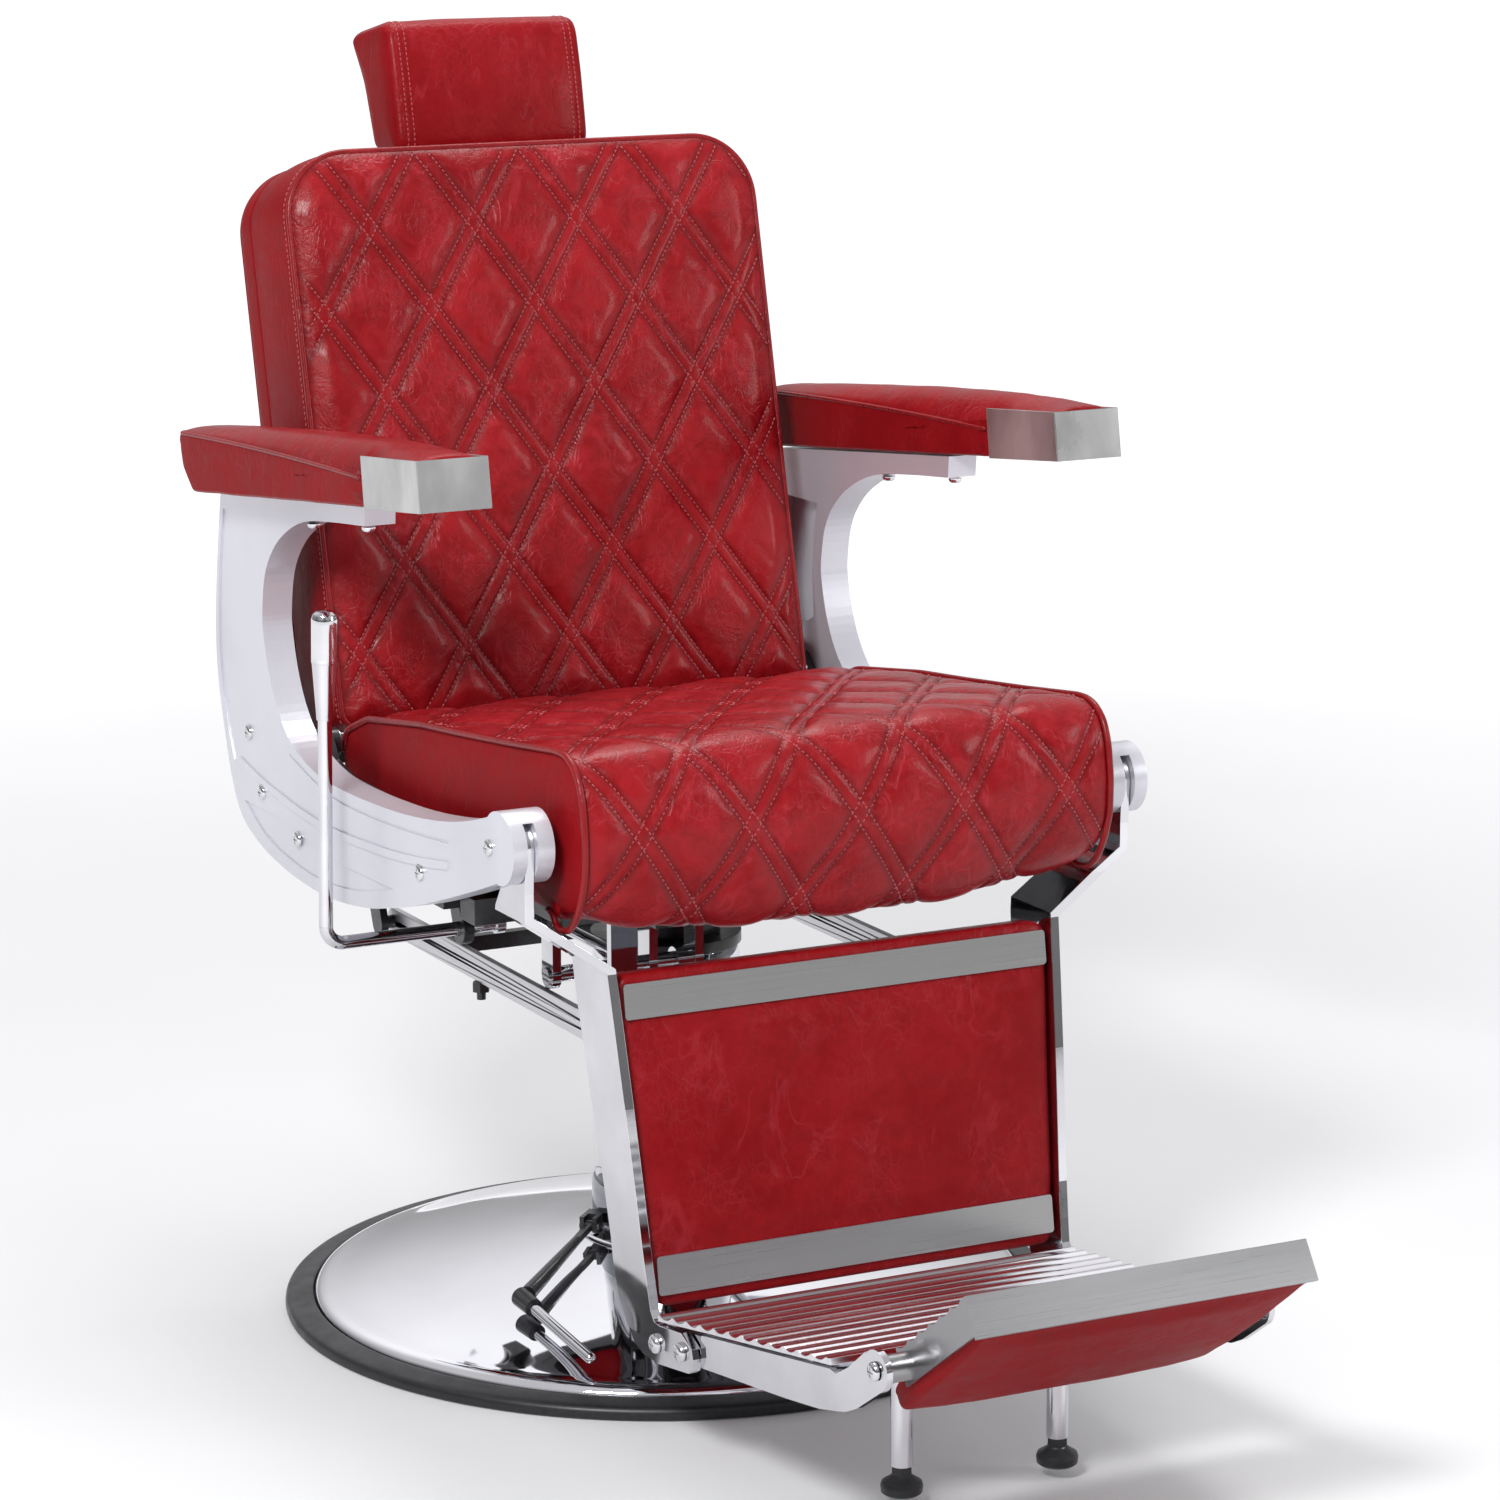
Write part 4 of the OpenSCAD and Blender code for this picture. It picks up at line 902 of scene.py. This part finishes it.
def make_arm(side, tag):
    hw = 28.6

    def top_z(y):
        return 754.2 + (311 - y) * 0.0874

    def edge_at(t):
        """Height of the welt over the straight top line, along the pad."""
        q = np.minimum(t, 0.79)
        return (5.4 - 13.5 * q - 17.0 * q ** 2) * (1 - ramp01((t - 0.80) / 0.07)) - 1.0 * ramp01((t - 0.80) / 0.07)

    def crown_at(t):
        return np.interp(t, [-0.05, 0.0, 0.1, 0.3, 0.5, 0.7, 0.8, 0.9, 1.0, 1.05], [8.0, 9.0, 10.5, 12.5, 14.0, 13.6, 12.4, 9.6, 5.0, 2.0])

    def disp(S, X, P, N):
        w = ramp01((N[:, :, 1] - 0.15) / 0.6)
        y = P[:, :, 0]
        t = np.clip((311 - y) / 531.0, 0, 1.0)
        u = np.clip(np.abs(X) / hw, 0, 1)
        pts = np.column_stack([X.ravel(), P[:, :, 0].ravel(), P[:, :, 1].ravel()])
        soft = (0.5 * noise3(pts, 33.0, 2.1 * (side + 2)) + 0.16 * noise3(pts, 11.0, 5.0)).reshape(S.shape)
        front = ramp01((y + 230) / 60)
        lift = edge_at(t) + (crown_at(t) - edge_at(t)) * (1 - u ** 2.8)
        return w * lift + soft * 0.8 * front - 0.3

    def half(P):
        return 28.8 + 1.7 * ramp01((P[:, :, 0] + 105) / 6.0)

    o, (c, nr, s) = block(f"arm_pad_{tag}_soft", ARM, hw, M_LEATHER_PLAIN, "seat", step_s=2.6, step_x=2.4, sigma=3.2, edge_r=3.0, disp=disp, bulge=0.5, x0=side * 292.5, hwf=half, caps=14)
    shaded_side_slot(o, M_LEATHER_SHADED_SIDE, low=0.97)
    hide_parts(f"arm_pad_{tag}")
    for k in (-1, 1):
        y = np.linspace(-103, 311, 120)
        t = (311 - y) / 531.0
        z = top_z(y) + edge_at(t) - 1.6
        x = side * 292.5 + k * (hw + 1.6) + 0 * y
        # round the rear end
        pth = np.column_stack([x, y, z])
        if k == 1:
            rear = [(side * 292.5 + (hw + 1.6) * math.copysign(abs(math.cos(a)) ** 0.45, math.cos(a)), 311 + 7.5 * math.sin(a) ** 0.6, z[-1]) for a in np.linspace(0.12, math.pi - 0.12, 26)]
            other = np.column_stack([side * 292.5 - (hw + 1.6) + 0 * y, y, z])[::-1]
            pth = np.vstack([pth, rear, other])
            pp = tube(f"arm_piping_{tag}", pth, 1.9, M_PIPING, "seat")


make_arm(-1, "left")
make_arm(1, "right")

# ------------------------------------------------------------------ headrest
HEAD = [(357.5, 1000), (360.5, 992), (366, 989.5), (420, 990.5), (424, 1003.5), (443, 1050), (470.5, 1085), (472, 1090.5), (464.5, 1096.5), (420, 1105.5), (396, 1110), (386.5, 1108.5), (380, 1101.5), (369, 1060)]


def head_disp(S, X, P, N):
    hw = 96.5
    front = ramp01((-N[:, :, 0] - 0.2) / 0.5)
    u = np.abs(X) / hw
    pts = np.column_stack([X.ravel(), P[:, :, 0].ravel(), P[:, :, 1].ravel()])
    soft = (0.7 * noise3(pts, 38.0, 6.0) + 0.25 * noise3(pts, 13.0, 7.0)).reshape(S.shape)
    seam = np.exp(-((np.abs(X) - 83.0) / 1.1) ** 2) * 1.3 + np.exp(-((np.abs(X) - 89.5) / 0.9) ** 2) * 0.5
    puff = 5.6 * (1 - u ** 3)
    return (puff * 0.8 - 1.4) * (0.4 + 0.6 * front) + soft * 0.6 - seam * ramp01((N[:, :, 1] * -1 + 0.9) / 0.4) * 0.9


head, (hc, hn, hs) = block("headrest_pad_soft", HEAD, 96.5, M_LEATHER_PLAIN, "headrest", step_s=2.0, step_x=2.0, sigma=6.5, edge_r=9.0, disp=head_disp, bulge=1.6, x0=6.0, caps=12)
shaded_side_slot(head, M_LEATHER_SHADED_SIDE, low=0.8)
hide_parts("headrest_pad")
ht = hs[-1] + (hs[1] - hs[0])


def head_at(s, x):
    cc, nn, s3 = np.vstack([hc, hc[:1]]), np.vstack([hn, hn[:1]]), np.append(hs, ht)
    s = np.mod(s, ht)
    p = np.stack([np.interp(s, s3, cc[:, k]) for k in (0, 1)], 1)
    m = np.stack([np.interp(s, s3, nn[:, k]) for k in (0, 1)], 1)
    d = head_disp(s[None], x[None], p[None], m[None])[0]
    q = p + m * d[:, None]
    return np.column_stack([x + 6.0, q]), np.column_stack([x * 0, m])


A, B, Nn_ = [], [], []
for xx in (-86.0, -80.0, 80.0, 86.0):
    t = np.arange(0, ht, 4.6)
    x = np.full(len(t), xx)
    a0, n0 = head_at(t, x)
    a1, _ = head_at(t + 3.2, x)
    ok = (n0[:, 2] > -0.4) & (n0[:, 1] < 0.55)
    A.append((a0 + n0 * 0.15)[ok])
    B.append((a1 + n0 * 0.15)[ok])
    Nn_.append(n0[ok])
st = stitch_mesh("headrest_stitches", np.vstack(A), np.vstack(B), np.vstack(Nn_), 0.66, M_THREAD, "headrest")

# ------------------------------------------------------------------ leg panel
LT = math.radians(8.94)


def leg_place(v):
    v = np.asarray(v, float)
    y = v[:, 1] * math.cos(LT) + v[:, 2] * math.sin(LT)
    z = -v[:, 1] * math.sin(LT) + v[:, 2] * math.cos(LT)
    return np.column_stack([v[:, 0], y - 363, z + 125])


LEG = [(-178, -4.6), (178, -4.6), (185.6, 3), (198.6, 260), (191, 267.6), (-191, 267.6), (-198.6, 260), (-185.6, 3)]


def leg_front(x, z):
    side = (186 + (z - 3) * 0.0505) - np.abs(x)
    mid = ramp01((z - 37) / 22) * ramp01((230 - z) / 22)
    p = np.column_stack([x, z * 0 + 40, z])
    soft = 0.8 * noise3(p, 52.0, 8.0) + 0.3 * noise3(p, 18.0, 9.0)
    edge = 5.0 * np.exp(-np.maximum(side, 0) / 5.0) + 4.0 * np.exp(-np.maximum(267 - z, 0) / 4.0) + 4.0 * np.exp(-np.maximum(z + 5, 0) / 4.0)
    return 0.25 + edge - mid * (2.6 * (1 - (x / 199) ** 6) + soft)


leg_pad, _ = slab("leg_panel_soft", LEG, leg_front, [(0.0, 9.6), (0.3, 13), (0.3, 20), (0.0, 25.4)], lambda x, z: x * 0 + 25.9, M_LEATHER_PLAIN, "legrest", leg_place, step=3.0, ring=3.0, back_ring=14.0, sigma=2.4, centre=(0, 131))
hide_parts("leg_panel")

# ------------------------------------------------------------------ flip pad
FA = math.radians(33.8)


def flip_place2(p):
    """Flip panel's own (forward, up) to the row frame's (y, z), mm."""
    y, z = -p[:, 0], p[:, 1]
    yy = y * math.cos(FA) + z * math.sin(FA)
    zz = -y * math.sin(FA) + z * math.cos(FA)
    return np.column_stack([yy - 707.2, zz + 170.7])


FLIP = np.array([(117.6, 9.6), (117.6, -15.2), (100, -17.2), (60, -20.0), (0, -23.2), (-40, -23.7), (-53, -22), (-60.5, -16), (-61.5, -4.5), (-58, -2.2), (-30, 1.2), (-14.6, 7.0), (-13.5, 9.6)])
flip_poly = flip_place2(FLIP)


def flip_local(P):
    y, z = P[..., 0] + 707.2, P[..., 1] - 170.7
    return -(y * math.cos(FA) - z * math.sin(FA)), y * math.sin(FA) + z * math.cos(FA)


def flip_hw(P):
    f, _ = flip_local(P)
    return np.interp(f, [-62, -50, -13.5, 60, 118], [130.0, 133.5, 138.4, 140.6, 142.6])


def flip_disp(S, X, P, N):
    u = np.abs(X) / 143.0
    f, up = flip_local(P)
    under = ramp01((4 - up) / 10) * ramp01((112 - f) / 26)
    pts = np.column_stack([X.ravel(), P[:, :, 0].ravel(), P[:, :, 1].ravel()])
    soft = (0.6 * noise3(pts, 44.0, 3.0) + 0.2 * noise3(pts, 15.0, 2.0)).reshape(S.shape)
    return under * (3.4 * (1 - u ** 4) + soft * 0.8) - 0.2


flip_pad, _ = block("flip_pad_soft", flip_poly, 143.0, M_LEATHER_PLAIN, "flip_panel", step_s=2.4, step_x=3.0, sigma=2.6, edge_r=5.5, disp=flip_disp, bulge=1.4, hwf=flip_hw, caps=7)
# the whole flip pad takes the duller, darker copy: painted shade
flip_pad.data.materials[0] = M_LEATHER_SHADED_SIDE
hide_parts("flip_pad")

# ------------------------------------------------------------------ turned metal
def smooth_line(pts, step=2.0):
    """A polyline through pts, resampled at an even step (mm)."""
    p = np.asarray(pts, float)
    cum = np.concatenate([[0], np.cumsum(np.linalg.norm(np.diff(p, axis=0), axis=1))])
    t = np.linspace(0, cum[-1], max(3, int(cum[-1] / step)))
    return np.stack([np.interp(t, cum, p[:, k]) for k in (0, 1)], 1)


def spline(pts, each=8):
    """Catmull-Rom through pts."""
    p = np.asarray(pts, float)
    q = np.vstack([2 * p[0] - p[1], p, 2 * p[-1] - p[-2]])
    out = []
    for k in range(1, len(q) - 2):
        for t in np.arange(each) / each:
            a, b_, c_, d_ = q[k - 1], q[k], q[k + 1], q[k + 2]
            out.append(0.5 * ((2 * b_) + (c_ - a) * t + (2 * a - 5 * b_ + 4 * c_ - d_) * t * t + (3 * b_ - a - 3 * c_ + d_) * t ** 3))
    out.append(p[-1])
    return np.array(out)


DR = 342 - 25.5
DT = 62
dome_prof = spline([(DR - 1.0, 7), (DR - 0.4, 11), (DR - 1.4, 14.5), (DR - 4.6, 17.8), (DR - 9, 19.9), (DR - 15, 21.4), (DR - 26, 23.8), (250, 33.2), (200, 43), (150, 51.4), (110, 57.2), (81, 61.6)], 10)
dome_under = [(81, 59.6), (110, 55.1), (150, 49.3), (200, 40.9), (250, 31.1), (DR - 26, 21.7), (DR - 15, 19.3), (DR - 9, 17.6), (DR - 4.8, 15.2), (DR - 3.5, 12)]
dome = lathe("base_dome_spun", np.vstack([[(DR - 3.5, 7)], dome_prof, [(70.5, 62.0), (70.5, 60.6)], dome_under]), M_DOME, "base", segs=256, closed=True)
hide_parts("base_dome")
ring_prof = spline([(317.5, 6.2), (317.2, 11.0), (318.0, 12.9), (321, 13.6), (330, 12.4), (337.5, 10.9), (340.4, 9.2), (341.8, 6.4), (342, 2.2), (341.2, 0.5), (338, 0.05)], 6)
ring = lathe("base_ring_moulded", np.vstack([ring_prof, [(322.2, 0.05), (322.2, 6.2)]]), M_RUBBER, "base", segs=256, closed=True)
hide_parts("base_ring")
sleeve_prof = [(63.1, 109.2), (64.6, 109.4), (65, 110.4), (65, 324.2), (64.6, 325), (63.1, 325)]
sleeve = lathe("column_sleeve_drawn", np.vstack([sleeve_prof[:3], smooth_line(sleeve_prof[2:4], 20)[1:], sleeve_prof[4:]]), M_CHROME, "base", segs=192, closed=True)
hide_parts("column_sleeve")

# ------------------------------------------------------------------ floor, light
floor_m, nt, b, v = new_mat("floor_pale")
nt.links.new(mix(nt, noise(nt, v, 2.5, 4), (0.68, 0.68, 0.69), (0.72, 0.72, 0.73)), b.inputs["Base Color"])
nt.links.new(remap(nt, noise(nt, v, 6, 3), 0.3, 0.7, 0.75, 0.9), b.inputs["Roughness"])
b.inputs["Specular IOR Level"].default_value = 0.25
b.inputs["Emission Color"].default_value = (1.0, 1.0, 1.0, 1.0)
away = nt.nodes.new("ShaderNodeVectorMath")
away.operation = "LENGTH"
nt.links.new(v, away.inputs[0])
nt.links.new(remap(nt, away.outputs["Value"], 0.9, 4.5, 0.05, 0.62, True), b.inputs["Emission Strength"])
R = 90.0
floor = add_mesh("floor", [(-R, -R, -0.0006), (R, -R, -0.0006), (R, R, -0.0006), (-R, R, -0.0006)], [(0, 1, 2, 3)], floor_m, None, smooth=False)

world = bpy.data.worlds.new("studio")
bpy.context.scene.world = world
world.use_nodes = True
wt = world.node_tree
bg = wt.nodes["Background"]
tc = wt.nodes.new("ShaderNodeTexCoord")
sep = wt.nodes.new("ShaderNodeSeparateXYZ")
wt.links.new(tc.outputs["Generated"], sep.inputs[0])


def world_patch(direction, inner, outer, depth):
    """A soft round dark card in that direction: 1 away from it, 1 - depth inside."""
    d = Vector(direction).normalized()
    n = wt.nodes.new("ShaderNodeVectorMath")
    n.operation = "DOT_PRODUCT"
    n.inputs[1].default_value = d
    wt.links.new(tc.outputs["Generated"], n.inputs[0])
    r = wt.nodes.new("ShaderNodeMapRange")
    r.interpolation_type = "SMOOTHSTEP"
    r.inputs["From Min"].default_value = math.cos(math.radians(outer))
    r.inputs["From Max"].default_value = math.cos(math.radians(inner))
    r.inputs["To Min"].default_value = 1.0
    r.inputs["To Max"].default_value = 1.0 - depth
    wt.links.new(n.outputs["Value"], r.inputs["Value"])
    return r.outputs["Result"]


def wmul(a, b):
    n = wt.nodes.new("ShaderNodeMath")
    n.operation = "MULTIPLY"
    wt.links.new(a, n.inputs[0])
    if isinstance(b, (int, float)):
        n.inputs[1].default_value = b
    else:
        wt.links.new(b, n.inputs[1])
    return n.outputs[0]


sky = wt.nodes.new("ShaderNodeMapRange")
sky.interpolation_type = "SMOOTHSTEP"
for k, val in zip(("From Min", "From Max", "To Min", "To Max"), (-0.05, 0.75, 0.34, 1.06)):
    sky.inputs[k].default_value = val
wt.links.new(sep.outputs["Z"], sky.inputs["Value"])
total = sky.outputs["Result"]
for direction, inner, outer, depth in (((-0.98, 0.10, 0.10), 10, 30, 0.45), ((0.85, -0.60, 0.08), 8, 26, 0.72), ((0.42, 0.86, 0.40), 22, 62, -0.95),
                                       ((-0.35, -1.0, 0.25), 8, 20, 0.55), ((1.0, 0.25, 0.15), 6, 20, 0.55)):
    total = wmul(total, world_patch(direction, inner, outer, depth))
col = wt.nodes.new("ShaderNodeMix")
col.data_type = "RGBA"
col.blend_type = "MULTIPLY"
[i for i in col.inputs if i.name == "Factor"][0].default_value = 1.0
rgba = [i for i in col.inputs if i.type == "RGBA"]
rgba[0].default_value = (0.985, 0.985, 1.0, 1)
wt.links.new(total, rgba[1])
wt.links.new([o for o in col.outputs if o.type == "RGBA"][0], bg.inputs["Color"])
bg.inputs["Strength"].default_value = 0.56


def area(name, loc, aim, size, power, colour=(1, 1, 1), size_y=None):
    d = bpy.data.lights.new(name, "AREA")
    d.energy = power
    d.color = colour
    d.shape = "RECTANGLE" if size_y else "SQUARE"
    d.size = size
    if size_y:
        d.size_y = size_y
    o = bpy.data.objects.new(name, d)
    bpy.context.scene.collection.objects.link(o)
    o.location = loc
    o.rotation_mode = "QUATERNION"
    o.rotation_quaternion = (Vector(aim) - Vector(loc)).to_track_quat("-Z", "Y")
    return o


area("key", (-2.2, -2.1, 2.7), (0, -0.1, 0.7), 0.9, 104, size_y=0.7)
area("fill", (2.6, -2.4, 1.7), (0, -0.1, 0.6), 1.0, 26)
area("top", (0.4, 0.7, 3.2), (0, 0, 0.6), 1.3, 40)
bpy.context.scene.view_settings.view_transform = "Standard"
